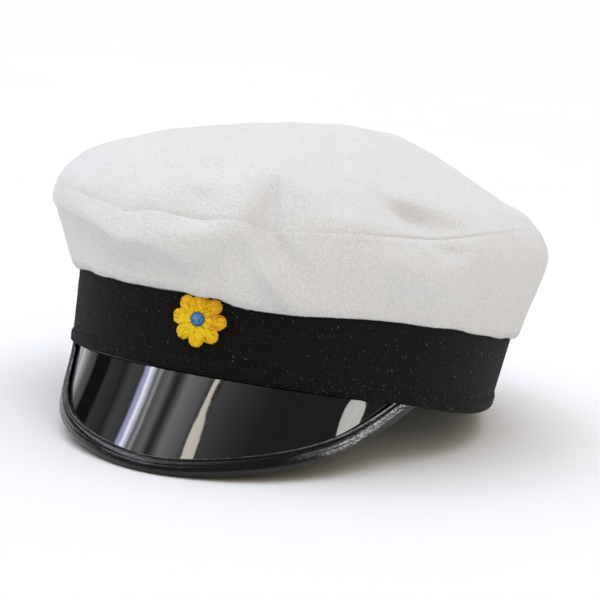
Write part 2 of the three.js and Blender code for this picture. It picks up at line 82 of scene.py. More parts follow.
# Band, with its turned-up hem
BAND_HALF_WIDTH = 86
BAND_HALF_LENGTH = 101.5
BAND_HEIGHT = 28.7
BAND_WALL = 2
BAND_LEAN = 0.05
HEM_HEIGHT = 5.2
HEM_SWELL = 0.75
HEM_ROUND = 1.5
HEM_ROUND_ROWS = 8
HEM_ROWS = 6
EDGE_ROUND = 0.4
BAND_ROWS = 40
BAND_ROUGHNESS = 0.05
PILE_SEED = 21
PILE_WAVES = 50

# Dent of the hem on the wearer's left, which fades out up to the crown: mm, degrees
HEM_DENT = 2.6
HEM_DENT_ANGLE = 112
HEM_DENT_SPAN = 24

# Waves of the line where the crown meets the band, of the top seam and of the band's hem: angle from
# the front and span in degrees, and how far the wave lowers the line, in mm
CROWN_LINE_WAVES = table(
    "angle span lower",
    (-42, 17, -1.1),
    (-12.5, 4, 0.3),
    (-3.5, 3, -0.7),
    (3.4, 2.6, -1.5),
    (14, 13, 1.9),
    (53, 22, -1.8),
)
SEAM_WAVES = table(
    "angle span lower",
    (-17, 5, 2.2),
    (-10, 4, -0.7),
    (6, 5, -1.3),
    (16, 5, 0.7),
)
HEM_WAVES = table(
    "angle span lower",
    (80, 28, 2.4),
)

# Crown cloth, the fold of its lower edge over the band, the edge tucked inside the band, and the
# sharpness of the side panel's flare
CLOTH = 1.8
ROLL_OUT = 2.3
ROLL_HEIGHT = 3
ROLL_DIP = 0.15
ROLL_MIDDLE = 1.1
TUCK_DEPTH = 10
TUCK_WALL = 1.2
FLARE_SHARPNESS = 9

# Inner faces: the shares of the side panel's height that its own spans, the top panel's wall at its
# edge, and how much further in both begin at the seam
INNER_TOP = 0.995
INNER_BOTTOM = 0.1
TOP_EDGE_WALL = 2.2
INNER_STEP = 1

# Crown sections by the angle from the front: reach and height of the widest line beyond and above
# the band, step back from it to the seam, the seam's height, the roundness of the top panel and the
# depth of the seam's groove
CROWN_SECTIONS = table(
    "angle swell swell_up inset seam_up full groove",
    (-180, 11, 33, 2.5, 42, 0.35, 0.12),
    (-135, 13, 31, 1.5, 37, 0.65, 0.12),
    (-90, 14.8, 30, 1.5, 36.5, 0.83, 0.1),
    (-45, 15.4, 28.5, 1, 32.3, 0.76, 0.2),
    (0, 13.8, 23.5, 1.8, 29, 0.72, 0.3),
    (45, 10.3, 29, 3.7, 35, 0.35, 0.18),
    (90, 9.6, 33.5, 5.8, 44.6, 0.06, 0.1),
    (135, 9.8, 34, 4.4, 42.6, 0.19, 0.12),
)

# Highest point of the top panel, the roundness of its tip, and the place its dents point to
APEX_X = 20.8
APEX_Y = 4
APEX_UP = 75
APEX_ROUNDNESS = 0.25
CROWN_MIDDLE_UP = 10

# Folds of the crown: angle and height over the seam at the fold's middle, slope in mm per degree, span
# in degrees, reach over and under its line in mm, and push in mm, outward positive
CROWN_FOLDS = table(
    "angle up slope span over under push",
    (-74, 13, 0, 20, 11, 8, 1.6),
    (-40, -11, -0.1, 16, 1.5, 10.5, -3.6),
    (-27, -26, -0.25, 16, 7, 6.3, -3.2),
    (-21.5, -16.8, -0.3, 12.5, 1.3, 6, -4.7),
    (-15.7, -12.1, -0.27, 16, 5, 3.7, 4.5),
    (-10, -17, -0.4, 6.3, 2.2, 5.2, -1.6),
    (-3.5, -8.5, -0.05, 8.5, 5.7, 8.2, 3.6),
    (-2, 2.2, -0.4, 3.8, 4, 4.8, -3.4),
    (11.2, -9, 0.45, 6.7, 8.5, 9.3, -5),
    (11.7, 4, -1.8, 2.5, 6.3, 7, -4.8),
    (12, 17.8, -1.2, 6.7, 6.2, 6, 4.9),
    (14.6, -19.3, -2.5, 7.8, 5.6, 8.3, 5.2),
    (16.2, -7.6, -1.9, 6, 7.6, 7.6, -3.9),
    (32, -4.7, 0, 12.3, 3.5, 11.5, -3.6),
    (43, -14, -0.6, 13, 7, 7.6, 5.1),
    (43.5, 9.6, -0.5, 7.4, 4.2, 5, -5.2),
    (47.5, 3, -0.25, 12, 6, 5.5, -5.6),
    (54, -5, -0.2, 6, 3.3, 5, -4.4),
    (77, -4.5, 0.2, 12, 7.5, 9.4, -2.6),
    (106, 8, 0, 18, 7, 5, 2.2),
)
FOLD_FADE = 6

# Seam between the panels: half width of its groove, the ridges beside it and its puckers, and the
# panels' rows, which crowd towards it
SEAM_HALF_WIDTH = 0.4
SEAM_RIDGE = 0.4
SEAM_RIDGE_AT = 1.1
SEAM_LEAN = 37
SEAM_FADE = 2.5
PUCKER_WAVE = 11
PUCKER_SEED = 3
PUCKER_PUSH = 0.22
PUCKER_REACH = 5
SIDE_ROWS = 74
ROLL_ROWS = 12
TOP_RINGS = 104
SEAM_CROWDING = 1.5

# Unevenness of the cloth and of its nap: wavelengths, heights and seeds
CLOTH_WAVE = 22
CLOTH_UNEVEN = 0.22
CLOTH_SEED = 11
NAP_WAVE = 1.9
NAP_HEIGHT = 0.05
NAP_SEED = 12
NAP_WAVES = 60

# Peak: lines fanning out from the band's lower front edge, and the flange sewn inside the band
PEAK_END_ANGLE = 55
PEAK_LENGTH = 45.6
PEAK_TAPER = 1.27
PEAK_SKEW = 0.05
PEAK_BLUNTNESS = 0.12
PEAK_SLOPE = 52.5
PEAK_SLOPE_GAIN = 40
PEAK_FAN_Y = -27.9
PEAK_END_TUCK = 2.1
PEAK_SHEET = 1.6
PEAK_FLANGE_HEIGHT = 9
PEAK_FLANGE_WALL = 1.2
PEAK_FLANGE_EASE = 0.45
PEAK_LAST_SHARE = 0.95
PEAK_STEPS = 260
PEAK_ROWS = 36

# Binding folded over the peak's edge, wider towards its end on the wearer's left, with a stitched groove
# inside and a creased line outside
BINDING_WIDTH = 4.8
BINDING_END_GAIN = 2
BINDING_LEAST_WIDTH = 0.6
BINDING_WALL = 1
BINDING_EASE = 0.4
BINDING_LAST_SHARE = 0.985
BINDING_ROUND = 0.75
BINDING_EDGE_DROP = 0.45
BINDING_EDGE_ROUND = 0.3
BINDING_TUCK = 3
BINDING_STEPS = 420
BINDING_ARC_ROWS = 7
BINDING_FACE_ROWS = 26
GROOVE_INSET = 1.2
GROOVE_DEPTH = 0.5
GROOVE_WIDTH = 0.35
CREASE_INSET = 3.7
CREASE_DEPTH = 0.12

# Stitches of the binding: rise and sink in radii, their random tone and the painted highlight that
# lightens them towards the wearer's left end, and the points that measure the edge
STITCH_INSET = 0.5
STITCH_PITCH = 1.3
STITCH_LENGTH = 0.85
STITCH_RADIUS = 0.2
STITCH_RISE = 0.7
STITCH_SINK = 1.2
STITCH_TONE = 0.3
# Painted highlight: tone added to the stitches towards the wearer's left end, where light glints on them
STITCH_END_HIGHLIGHT = 0.75
EDGE_SAMPLES = 2000

# Threads: radius of the cockade's, points along a stitch, sides, and how far its tone varies
THREAD_RADIUS = 0.19
THREAD_POINTS = 7
THREAD_SIDES = 6
THREAD_UNEVEN = 0.3

# Cockade: an embroidered flower on the band's front, over a pad
FLOWER_ACROSS = 0.4
FLOWER_UP = 20.3
FLOWER_RADIUS = 10.9
FLOWER_LOBES = 8
LOBE_SHARE = 0.28
FLOWER_EDGE = 1
FLOWER_THICKNESS = 2.2
FLOWER_CLEAR = 1.5 * GAP
FLOWER_PAD = 0.93
FLOWER_STEPS = 160
FLOWER_PAD_RINGS = table(
    "far out",
    (0.3, GAP),
    (1, GAP),
    (1, FLOWER_EDGE * 0.6),
    (0.95, FLOWER_EDGE),
    (0.8, 1.6),
    (0.3, 1.8),
)

# Rings of its stitches, how unevenly they lie, and how they sink and narrow towards their ends
FLOWER_RINGS = table(
    "far count length lift",
    (0.98, 330, 3.4, 0),
    (0.76, 240, 3.0, 0.12),
    (0.52, 150, 2.6, 0.2),
)
FLOWER_SHIFT = 0.4
FLOWER_REACH = (0.96, 1.01)
FLOWER_SLANT = 14
FLOWER_STRETCH = (0.8, 1.2)
FLOWER_LIFT = 0.15
FLOWER_SINK = 0.45
FLOWER_THIN = 0.35

# Tones of its stitches: more in the lobes' middles and near the centre, less on the shaded side
FLOWER_TONE = 0.44
FLOWER_LOBE_TONE = 0.15
FLOWER_INNER_TONE = 0.6
FLOWER_SHADE = 0.3
FLOWER_SHADE_ANGLE = 55
FLOWER_TONE_SPREAD = 0.22
FLOWER_PAD_TONE = 0.3

# Its round centre, of short stitches over a pad
CENTRE_RADIUS = 2.7
CENTRE_RISE = 0.96
CENTRE_SEAT = FLOWER_THICKNESS + GAP
CENTRE_STEPS = 40
CENTRE_PAD_RINGS = table(
    "far out",
    (0.9, CENTRE_SEAT),
    (1, CENTRE_SEAT + 0.25 * CENTRE_RISE),
    (0.85, CENTRE_SEAT + 0.6 * CENTRE_RISE),
    (0.4, CENTRE_SEAT + 0.85 * CENTRE_RISE),
)
CENTRE_PAD_TONE = 0.1
CENTRE_THREADS = 90
CENTRE_POINTS = 9
CENTRE_STITCH = 1.5
CENTRE_SLANT = 62
CENTRE_SLANT_SPREAD = 25
CENTRE_LIFT = 0.15
CENTRE_SINK = 0.3

# Loose fibres of the nap, with the rings at the top's highest point that have none, and the rows of the
# side panel's lower edge that have more
FIBRES = 60000
FIBRE_LENGTH = 0.45
FIBRE_WIDTH = 0.1
FIBRE_SPREAD = (0.5, 1.3)
FIBRE_LEAN = 0.7
BARE_RINGS = 8
HEM_FIBRES = 16000
HEM_FIBRE_LEAN = 0.5
HEM_FIBRE_ROWS = slice(2, ROLL_ROWS + 6)

# Lint on the velvet, and the rows at the band's lower and upper edges that have none
LINT = 1500
LINT_LENGTH = 0.14
LINT_LONG = 0.6
LINT_LEAST = 0.1
LINT_BOW = 0.3
LINT_RADIUS = 0.05
LINT_SPREAD = (0.6, 1.6)
LINT_POINTS = 5
LINT_SIDES = 4
LINT_LOW_ROWS = 2
LINT_TOP_ROWS = 3

# Colours from light to dark, and the tones of threads with their colours
VELOUR = ((0.86, 0.855, 0.845), (0.66, 0.655, 0.65))
CLOTH_BACK = ((0.75, 0.745, 0.73), (0.6, 0.595, 0.58))
VELVET = ((0.02, 0.0185, 0.0175), (0.005, 0.0045, 0.004))
VELVET_BACK = ((0.016, 0.015, 0.015), (0.008, 0.0075, 0.007))
# The binding thread's palest stop is reached only through the stitches' painted highlight
BINDING_THREAD = [(0.2, grey(0.02)), (0.7, (0.2, 0.2, 0.195)), (1.0, (0.75, 0.75, 0.73))]
YELLOW_THREAD = [(0.15, (0.62, 0.29, 0.003)), (0.55, (0.92, 0.54, 0.007)), (1.0, (1.0, 0.74, 0.015))]
BLUE_THREAD = [(0.15, (0.015, 0.08, 0.22)), (0.6, (0.05, 0.2, 0.46)), (1.0, (0.18, 0.4, 0.68))]

# Camera at the photograph's angle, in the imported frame; its picture is square
CAMERA_AZIMUTH = 20.6
CAMERA_ELEVATION = 10.78
CAMERA_ROLL = 5.79
CAMERA_DISTANCE = 1.046
CAMERA_AIM = (0.00321, 0.01093, 0.04524)
CAMERA_SENSOR = 36
CAMERA_LENS = 152.3

# What the patent mirrors: an arched screen over the cap, by the roll from straight up towards the
# wearer's left in degrees, with the colour and brightness there
SCREEN_STOPS = table(
    "roll red green blue bright",
    (-91, 0.96, 1, 0.97, 2),
    (-84.8, 0.97, 1, 0.97, 1.15),
    (-80.7, 1, 0.98, 0.96, 0.5),
    (-76, 1, 0.98, 0.95, 0.42),
    (-74.6, 1, 1, 1, 0.02),
    (-65.5, 1, 1, 1, 0.02),
    (-64, 1, 0.97, 0.93, 0.32),
    (-57, 1, 0.97, 0.92, 0.26),
    (-55, 1, 0.97, 0.95, 0.15),
    (-51.2, 0.98, 0.97, 1, 0.7),
    (-46.6, 0.95, 0.95, 1, 0.63),
    (-45.4, 0.85, 0.85, 1, 0.3),
    (-44.2, 0.64, 0.67, 1, 8.7),
    (-42.9, 0.6, 0.6, 1, 6.7),
    (-41.6, 0.9, 0.9, 1, 16),
    (-40.6, 0.85, 0.86, 1, 10),
    (-39.5, 0.78, 0.79, 1, 7),
    (-38.4, 0.95, 0.95, 1, 0.85),
    (-36.7, 1, 1, 1, 5),
    (-35.6, 1, 1, 1, 1.1),
    (-31.8, 1, 1, 1, 2),
    (-30.1, 1, 1, 1, 1.05),
    (-28.6, 1, 1, 1, 0.3),
    (-26.8, 0.97, 0.97, 1, 0.36),
    (-24.6, 0.96, 0.96, 1, 1.3),
    (-22.6, 0.96, 0.96, 1, 2.6),
    (-13.5, 0.93, 0.93, 1, 1.5),
    (-11.8, 1, 0.96, 1, 0.7),
    (-7.6, 1, 1, 0.95, 0.2),
    (-5.6, 0.97, 0.96, 1, 0.9),
    (6, 1, 0.97, 0.93, 0.48),
    (20, 1, 0.97, 0.9, 0.2),
)
SCREEN_SPAN = 95
SCREEN_STRENGTH = 20
SCREEN_RADIUS = 1.5
SCREEN_LENGTH = 2.4
SCREEN_MIDDLE = (0, -0.1, 0.03)
SCREEN_STEPS = 96

# Cards just inside the screen: rows of a distance to the rear in metres and the rolls of the left and
# right edges there; a dark one lies along the lamp's right edge
LAMP_CARD = table(
    "y left right",
    (-0.26, -10.6, -9.4),
    (-0.322, -10.9, -8.8),
    (-0.338, -11, -8.1),
    (-0.355, -11.6, -6.9),
    (-0.375, -11.2, -5.6),
    (-0.4, -10, -4.6),
    (-0.45, -9.5, -4.2),
)
WINDOW_CARD = table(
    "y left right",
    (-0.01, 59.2, 59.8),
    (0.005, 58.2, 61.3),
    (0.03, 57.6, 63.6),
    (0.06, 57.3, 66),
    (0.09, 57.2, 67.5),
    (0.12, 57.3, 68.4),
    (0.16, 57.6, 68.8),
    (0.21, 58, 68.8),
    (0.26, 58.5, 68.2),
    (0.35, 59, 67),
)
RIM_CARD = table(
    "y left right",
    (0.42, 71, 84),
    (0.5, 72, 88),
    (0.62, 74, 88),
    (0.78, 79, 88),
)
SHADE_WIDTH = 1
SHADE_CARD = [dict(y=row["y"], left=row["right"], right=row["right"] + SHADE_WIDTH) for row in LAMP_CARD]
CARDS = table(
    "name rows colour bright",
    ("lamp_card", LAMP_CARD, (1.0, 0.93, 0.82), 10.5),
    ("shade_card", SHADE_CARD, (1.0, 1.0, 0.95), 0.2),
    ("window_card", WINDOW_CARD, (1.0, 0.98, 0.94), 9.4),
    ("rim_card", RIM_CARD, (1.0, 0.98, 0.96), 32),
)
CARD_RADIUS = 1.47
CARD_DIM = 0.85

# Broad soft lights, by the way they come from
SUNS = table(
    "name azimuth elevation breadth colour strength",
    ("back", 180, 27, 100, (1.0, 0.96, 1.0), 1.32),
    ("left", 290, 45, 70, (0.8, 0.87, 1.0), 1.14),
    ("front_right", 35, 43, 70, (1.0, 0.92, 0.84), 0.94),
    ("above", 0, 90, 70, (0.63, 0.72, 1.0), 1.29),
)

# Sky: the colour and strength of its light, its strength where it is seen or mirrored, and half the
# floor's width in metres
SKY_COLOUR = (1.0, 0.87, 0.4)
SKY_LIGHT = 0.2
SKY_SEEN = 1.0
SKY_MIRRORED = 0.22
FLOOR_HALF = 12


# The cap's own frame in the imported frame, from the head opening's mount
opening = next(m for m in frame["record"]["mounts"] if m["name"] == "head_opening")
cap_up = -Vector(opening["axis"])
cap_turn = np.array(Matrix.Rotation(-math.atan2(cap_up.y, cap_up.z), 3, "X"))
cap_place = np.array(opening["pos_m"])


def in_frame(points):
    """Points of the cap's own frame, in mm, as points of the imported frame, in metres."""
    return points.reshape(-1, 3) @ cap_turn.T * MM + cap_place


def polar(angle, radius, up):
    """Points at angles from the front, in degrees, distances from the cap's axis and heights."""
    turn = np.radians(angle)
    return np.stack(np.broadcast_arrays(radius * np.sin(turn), -radius * np.cos(turn), up), -1)


def unit(vectors):
    """Vectors made one long."""
    return vectors / np.maximum(np.linalg.norm(vectors, axis=-1, keepdims=True), 1e-12)


def turn_between(start, end):
    """Shorter turn from one angle to another, in degrees."""
    return (end - start + 180) % 360 - 180


def bell(distance, width):
    """A soft hump: 1 at its middle, fading out over a width."""
    return np.exp(-(distance / width) ** 2)


def wave_drop(waves, angle):
    """Drop of a wavy line at an angle."""
    return sum(wave["lower"] * bell(turn_between(wave["angle"], angle), wave["span"]) for wave in waves)


def band_radius(angle, up):
    """Distance of the band's outer face from the cap's axis."""
    turn = np.radians(angle)
    oval = 1 / np.hypot(np.sin(turn) / BAND_HALF_WIDTH, np.cos(turn) / BAND_HALF_LENGTH)
    dent = HEM_DENT * bell(turn_between(HEM_DENT_ANGLE, angle), HEM_DENT_SPAN)
    return oval + BAND_LEAN * up - dent * np.maximum(0, 1 - up / BAND_HEIGHT)


def crown_value(column):
    """Smooth values of a column of the crown sections all round, by a closed cubic through the rows."""
    rows = np.array([row[column] for row in CROWN_SECTIONS])
    place = (AROUND - CROWN_SECTIONS[0]["angle"]) * len(rows) / 360
    first = np.floor(place).astype(int)
    share = place - first
    a, b, c, d = (rows[(first + k) % len(rows)] for k in (-1, 0, 1, 2))
    cubic = 3 * (b - c) + d - a
    square = 2 * a - 5 * b + 4 * c - d
    return b + 0.5 * share * (c - a + share * (square + share * cubic))


def crown_line(angle):
    """Height of the line where the crown meets the band."""
    return BAND_HEIGHT - wave_drop(CROWN_LINE_WAVES, angle)


def hem_line(angle):
    """Height of the band's lower edge."""
    return -wave_drop(HEM_WAVES, angle)


# Heights all round of the crown's lower edge and of the seam between its panels
EDGE_UP = crown_line(AROUND)
SEAM_UP = BAND_HEIGHT + crown_value("seam_up") - wave_drop(SEAM_WAVES, AROUND)
SIDE_HEIGHT = SEAM_UP - EDGE_UP


def fold_push(above):
    """Push of the crown's folds at a height over the seam, measured along the cloth."""
    push = 0
    for fold in CROWN_FOLDS:
        along = turn_between(fold["angle"], AROUND)
        across = above - fold["up"] - fold["slope"] * along
        reach = np.where(across > 0, fold["over"], fold["under"])
        push = push + fold["push"] * bell(along, fold["span"]) * bell(across, reach)
    return push


def pushed(points, push):
    """Points of the crown pushed away from its middle."""
    return points + unit(points - (0, 0, BAND_HEIGHT + CROWN_MIDDLE_UP)) * push[..., None]


def side_radius(share):
    """Outer distance of the side panel from the axis at a share of its height, before its folds."""
    full_rise = crown_value("seam_up") / crown_value("swell_up")
    rise = share * full_rise
    low = np.minimum(rise, 1)
    flare = (FLARE_SHARPNESS * low - low ** FLARE_SHARPNESS) / (FLARE_SHARPNESS - 1)
    past = np.maximum(rise - 1, 0) / (full_rise - 1)
    start = band_radius(AROUND, BAND_HEIGHT) + ROLL_OUT
    return start + (crown_value("swell") - ROLL_OUT) * flare - crown_value("inset") * past ** 2


def side_points(share, inward=0):
    """Points of the side panel at a share of its height; its folds fade out at the band."""
    place = polar(AROUND, side_radius(share) - inward, EDGE_UP + share * SIDE_HEIGHT)
    fade = 1 - bell(share * SIDE_HEIGHT, FOLD_FADE)
    return pushed(place, fold_push((share - 1) * SIDE_HEIGHT) * fade)


def ripple(points, wave, seed, count=RIPPLE_WAVES):
    """Smooth noise of about unit height, made of waves in random directions."""
    draws = np.random.default_rng(seed)
    ways = unit(draws.normal(size=(count, 3))) * (2 * math.pi / wave)
    ways = ways * draws.uniform(*RIPPLE_SPREAD, (count, 1))
    phases = draws.uniform(0, 2 * math.pi, count)
    total = np.zeros(points.shape[:-1])
    for way, phase in zip(ways, phases):
        total += np.cos(points @ way + phase)
    return total * math.sqrt(2 / count)


def seam_push(distance):
    """Push of the cloth at a distance from the seam: a groove, a ridge beside it, and puckers."""
    groove = bell(distance, SEAM_HALF_WIDTH)
    ridge = SEAM_RIDGE * bell(distance - SEAM_RIDGE_AT, SEAM_RIDGE_AT)
    puckers = PUCKER_PUSH * ripple(polar(180 - AROUND, BAND_HALF_LENGTH, 0), PUCKER_WAVE, PUCKER_SEED)
    push = crown_value("groove") * (ridge - groove) + puckers * bell(distance, PUCKER_REACH)
    lean = math.radians(SEAM_LEAN)
    return polar(AROUND, math.cos(lean), math.sin(lean)) * push[..., None]


def grid_normals(points):
    """Normals of a grid of points, rows by columns, whose columns go all the way round."""
    across = np.roll(points, -1, 1) - np.roll(points, 1, 1)
    return unit(np.cross(across, np.gradient(points, axis=0)))


def grid_faces(rows, columns, closed=True, closed_rows=False):
    """Four-sided faces of a grid of points, whose closed sides go all the way round."""
    first = np.arange(rows if closed_rows else rows - 1)[:, None]
    place = np.arange(columns if closed else columns - 1)
    after = (first + 1) % rows
    beside = (place + 1) % columns
    corners = [(first, place), (first, beside), (after, beside), (after, place)]
    return np.stack([row * columns + column for row, column in corners], -1).reshape(-1, 4)


def fan_faces(pole, ring, count):
    """Three-sided faces from a pole to a ring of points that starts at a place in the list."""
    place = np.arange(count)
    return np.stack([np.full(count, pole), ring + place, ring + (place + 1) % count], -1)


def bar_faces(loops, count):
    """Faces of a bar made of section loops, with closed ends."""
    loop = np.arange(count)
    return [grid_faces(loops, count), np.stack([loop[::-1], (loops - 1) * count + loop])]


def tubes(paths, radii, sides):
    """Points and faces of many tubes, each along its own path, with closed ends."""
    many, steps = paths.shape[:2]
    along = unit(np.gradient(paths, axis=1))
    helper = np.where(np.abs(along[..., 2:]) < STEEP, (0, 0, 1.0), (1.0, 0, 0))
    first = unit(np.cross(along, helper))[:, :, None]
    second = np.cross(along[:, :, None], first)
    turn = np.arange(sides)[:, None] * 2 * math.pi / sides
    rims = first * np.cos(turn) + second * np.sin(turn)
    points = paths[:, :, None] + rims * np.broadcast_to(radii, (many, steps))[..., None, None]
    start = np.array([[0, k + 1, k] for k in range(1, sides - 1)])
    ends = np.concatenate([start, (steps - 1) * sides + start[:, [0, 2, 1]]])
    firsts = np.arange(many)[:, None, None] * steps * sides
    groups = [grid_faces(steps, sides), ends]
    return points.reshape(-1, 3), [(firsts + group).reshape(-1, group.shape[1]) for group in groups]


# Materials

def find_node(tree, kind):
    """The node of a kind that a new tree has."""
    return next(node for node in tree.nodes if node.type == kind)


def set_values(node, **values):
    """Values of a node's sockets; underscores stand for spaces in their names."""
    for name, value in values.items():
        node.inputs[name.replace("_", " ")].default_value = value


def new_node(tree, kind, **values):
    """A new node with values of its sockets."""
    node = tree.nodes.new(kind)
    set_values(node, **values)
    return node


class Look:
    """A material as a tree of nodes, with its shader and the object's own coordinates in metres."""

    def __init__(self, name):
        self.material = bpy.data.materials.new(name)
        self.material.use_nodes = True
        self.tree = self.material.node_tree
        self.shader = find_node(self.tree, "BSDF_PRINCIPLED")
        self.place = new_node(self.tree, "ShaderNodeTexCoord").outputs["Object"]
        self.normal = None

    def fed(self, kind, socket, value, **values):
        """A new node with a value of another node in a socket."""
        node = new_node(self.tree, kind, **values)
        self.tree.links.new(value, node.inputs[socket])
        return node

    def feed(self, socket, value):
        """A value of a node in a socket of the shader."""
        self.tree.links.new(value, self.shader.inputs[socket])

    def noise(self, scale, detail=3, roughness=0.6):
        """Noise with about that many cells to a metre."""
        values = dict(Scale=scale, Detail=detail, Roughness=roughness)
        return self.fed("ShaderNodeTexNoise", "Vector", self.place, **values).outputs["Fac"]

    def cells(self, scale):
        """Distance to the nearest of scattered points, with about that many to a metre."""
        return self.fed("ShaderNodeTexVoronoi", "Vector", self.place, Scale=scale).outputs["Distance"]

    def ramp(self, value, stops):
        """Colours along a value: stops are pairs of a place and a colour."""
        node = self.fed("ShaderNodeValToRGB", "Fac", value)
        elements = node.color_ramp.elements
        while len(elements) < len(stops):
            elements.new(1)
        for element, (place, colour) in zip(elements, stops):
            element.position = place
            element.color = (*colour, 1)
        return node.outputs["Color"]

    def to_range(self, value, low, high, start=0.3, end=0.7):
        """A value from start to end, stretched from low to high."""
        values = dict(From_Min=start, From_Max=end, To_Min=low, To_Max=high)
        return self.fed("ShaderNodeMapRange", "Value", value, **values).outputs["Result"]

    def calculate(self, operation, *values):
        """Result of an operation on values, which are numbers or come from other nodes."""
        node = new_node(self.tree, "ShaderNodeMath")
        node.operation = operation
        for socket, value in zip(node.inputs, values):
            if isinstance(value, float):
                socket.default_value = value
            else:
                self.tree.links.new(value, socket)
        return node.outputs[0]

    def paint(self, value, *stops):
        """Colours of the shader along a value."""
        self.feed("Base Color", self.ramp(value, stops))

    def bump(self, value, height, strength):
        """Bumps of a height in metres, on top of those made before."""
        node = self.fed("ShaderNodeBump", "Height", value, Distance=height, Strength=strength)
        if self.normal:
            self.tree.links.new(self.normal, node.inputs["Normal"])
        self.normal = node.outputs["Normal"]
        self.feed("Normal", self.normal)

    def finished(self, **values):
        """The material, with values of its shader's sockets."""
        set_values(self.shader, **values)
        return self.material

    def shining(self, colour, strength):
        """The material, with light of a colour in its shader's stead."""
        glow = self.fed("ShaderNodeEmission", "Color", colour, Strength=strength)
        output = find_node(self.tree, "OUTPUT_MATERIAL")
        self.tree.links.new(glow.outputs[0], output.inputs["Surface"])
        return self.material


def velour(name, light, dark):
    """White velour with a short, uneven nap."""
    look = Look(name)
    look.paint(look.noise(1500, detail=4, roughness=0.7), (0.3, dark), (0.62, light))
    look.bump(look.cells(1300), height=0.0004, strength=0.45)
    look.bump(look.noise(700), height=0.0005, strength=0.5)
    return look.finished(Roughness=0.95, Specular_IOR_Level=0.15, Sheen_Weight=0.25, Sheen_Roughness=0.6)


def knit_back(name, light, dark):
    """Plain back of the crown's cloth, a fine knit."""
    look = Look(name)
    weave = look.cells(1100)
    look.paint(weave, (0.1, light), (0.7, dark))
    look.bump(weave, height=0.0003, strength=0.5)
    return look.finished(Roughness=0.9, Specular_IOR_Level=0.2)


def velvet(name, light, dark):
    """Black velvet, with the sheen and the fine specks of its pile."""
    look = Look(name)
    specks = look.noise(1700, detail=4, roughness=0.75)
    look.paint(specks, (0.45, dark), (0.75, light))
    look.bump(specks, height=0.0004, strength=0.7)
    return look.finished(Roughness=0.9, Specular_IOR_Level=0.1, Sheen_Weight=0.07, Sheen_Roughness=0.35)


def patent():
    """Black patent, nearly a mirror, with faint waviness and dust."""
    look = Look("peak_patent")
    look.paint(look.noise(60, detail=4), (0.3, grey(0.003)), (0.7, (0.006, 0.006, 0.007)))
    look.feed("Roughness", look.to_range(look.noise(900, detail=2), 0.03, 0.06))
    look.bump(look.noise(45, detail=2), height=0.002, strength=0.03)
    return look.finished(IOR=1.55)


def grained_leather():
    """Black half-gloss binding with a fine grain."""
    look = Look("peak_binding")
    grain = look.cells(1700)
    look.paint(grain, (0.2, grey(0.002)), (0.8, grey(0.004)))
    look.feed("Roughness", look.to_range(look.noise(400), 0.08, 0.17))
    look.bump(grain, height=0.0004, strength=0.25)
    look.bump(look.noise(120), height=0.001, strength=0.12)
    return look.finished(Specular_IOR_Level=0.45)


def thread(name, stops, roughness=0.5, gloss=0.2):
    """Thread whose tone, painted highlight and shade included, comes with the mesh, broken up along its
    length.
    """
    look = Look(name)
    tone = new_node(look.tree, "ShaderNodeAttribute")
    tone.attribute_name = "tone"
    broken = look.noise(2500, detail=2)
    look.paint(look.calculate("MULTIPLY_ADD", broken, THREAD_UNEVEN, tone.outputs["Fac"]), *stops)
    look.bump(look.noise(4000, detail=2), height=0.0001, strength=0.4)
    return look.finished(Roughness=roughness, Specular_IOR_Level=gloss)


def lint_fibre():
    """Pale lint of uneven greys."""
    look = Look("lint")
    look.paint(look.noise(300), (0.4, (0.05, 0.047, 0.044)), (0.72, (0.42, 0.41, 0.39)))
    return look.finished(Roughness=0.8)


def pale_floor():
    """Plain pale floor, very slightly uneven."""
    look = Look("floor")
    look.paint(look.noise(3), (0.3, grey(0.93)), (0.7, grey(0.95)))
    return look.finished(Roughness=0.9, Specular_IOR_Level=0.1)


# Meshes

def linked(name, data):
    """A new object in the scene."""
    item = bpy.data.objects.new(name, data)
    bpy.context.scene.collection.objects.link(item)
    return item


def listed(items, name):
    """Whole numbers of all of a mesh's faces or corners."""
    values = np.empty(len(items), int)
    items.foreach_get(name, values)
    return values


def bake_map(mesh, columns):
    """Map of a piece for baking: a grid's rows and columns spread flat, or a cell for each face."""
    starts = listed(mesh.polygons, "loop_start")
    sizes = listed(mesh.polygons, "loop_total")
    corners = listed(mesh.loops, "vertex_index")
    face = np.repeat(np.arange(len(sizes)), sizes)
    if columns:
        rows = math.ceil(len(mesh.vertices) / columns)
        spread = np.stack([corners % columns, corners // columns], -1).astype(float)
        for axis, many in enumerate((columns, rows)):
            high = np.maximum.reduceat(spread[:, axis], starts)[face]
            spread[high - spread[:, axis] > many / 2, axis] += many
        spread = spread / (columns + 1, rows + 1)
    else:
        side = math.ceil(math.sqrt(len(sizes)))
        turn = 2 * math.pi * (np.arange(len(corners)) - starts[face]) / sizes[face]
        inside = np.stack([np.cos(turn), np.sin(turn)], -1) * BAKE_REACH + 0.5
        spread = (np.stack([face % side, face // side], -1) + inside) / side
    mesh.uv_layers.new(name="OFBake").uv.foreach_set("vector", spread.astype(np.float32).ravel())


def add_piece(name, points, faces, materials, node=None, wears=None, tone=None, columns=0):
    """A smooth mesh piece of the cap from points in mm and groups of faces, kept over the surface that
    it rests on; wears gives each face's material, and columns those of a grid of points."""
    places = in_frame(points)
    places[:, 2] = np.maximum(places[:, 2], 0)
    mesh = bpy.data.meshes.new(name)
    mesh.from_pydata(places.tolist(), [], [face for group in faces for face in group.tolist()])
    for material in materials:
        mesh.materials.append(material)
    if wears is not None:
        mesh.polygons.foreach_set("material_index", wears.astype(np.int32))
    if tone is not None:
        mesh.attributes.new("tone", "FLOAT", "POINT").data.foreach_set("value", tone.astype(np.float32))
    mesh.polygons.foreach_set("use_smooth", np.ones(len(mesh.polygons), bool))
    mesh.set_sharp_from_angle(angle=math.radians(SHARP_ANGLE))
    bake_map(mesh, columns)
    mesh.update()
    piece = linked(name, mesh)
    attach(piece, "root")
    if node:
        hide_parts(node)


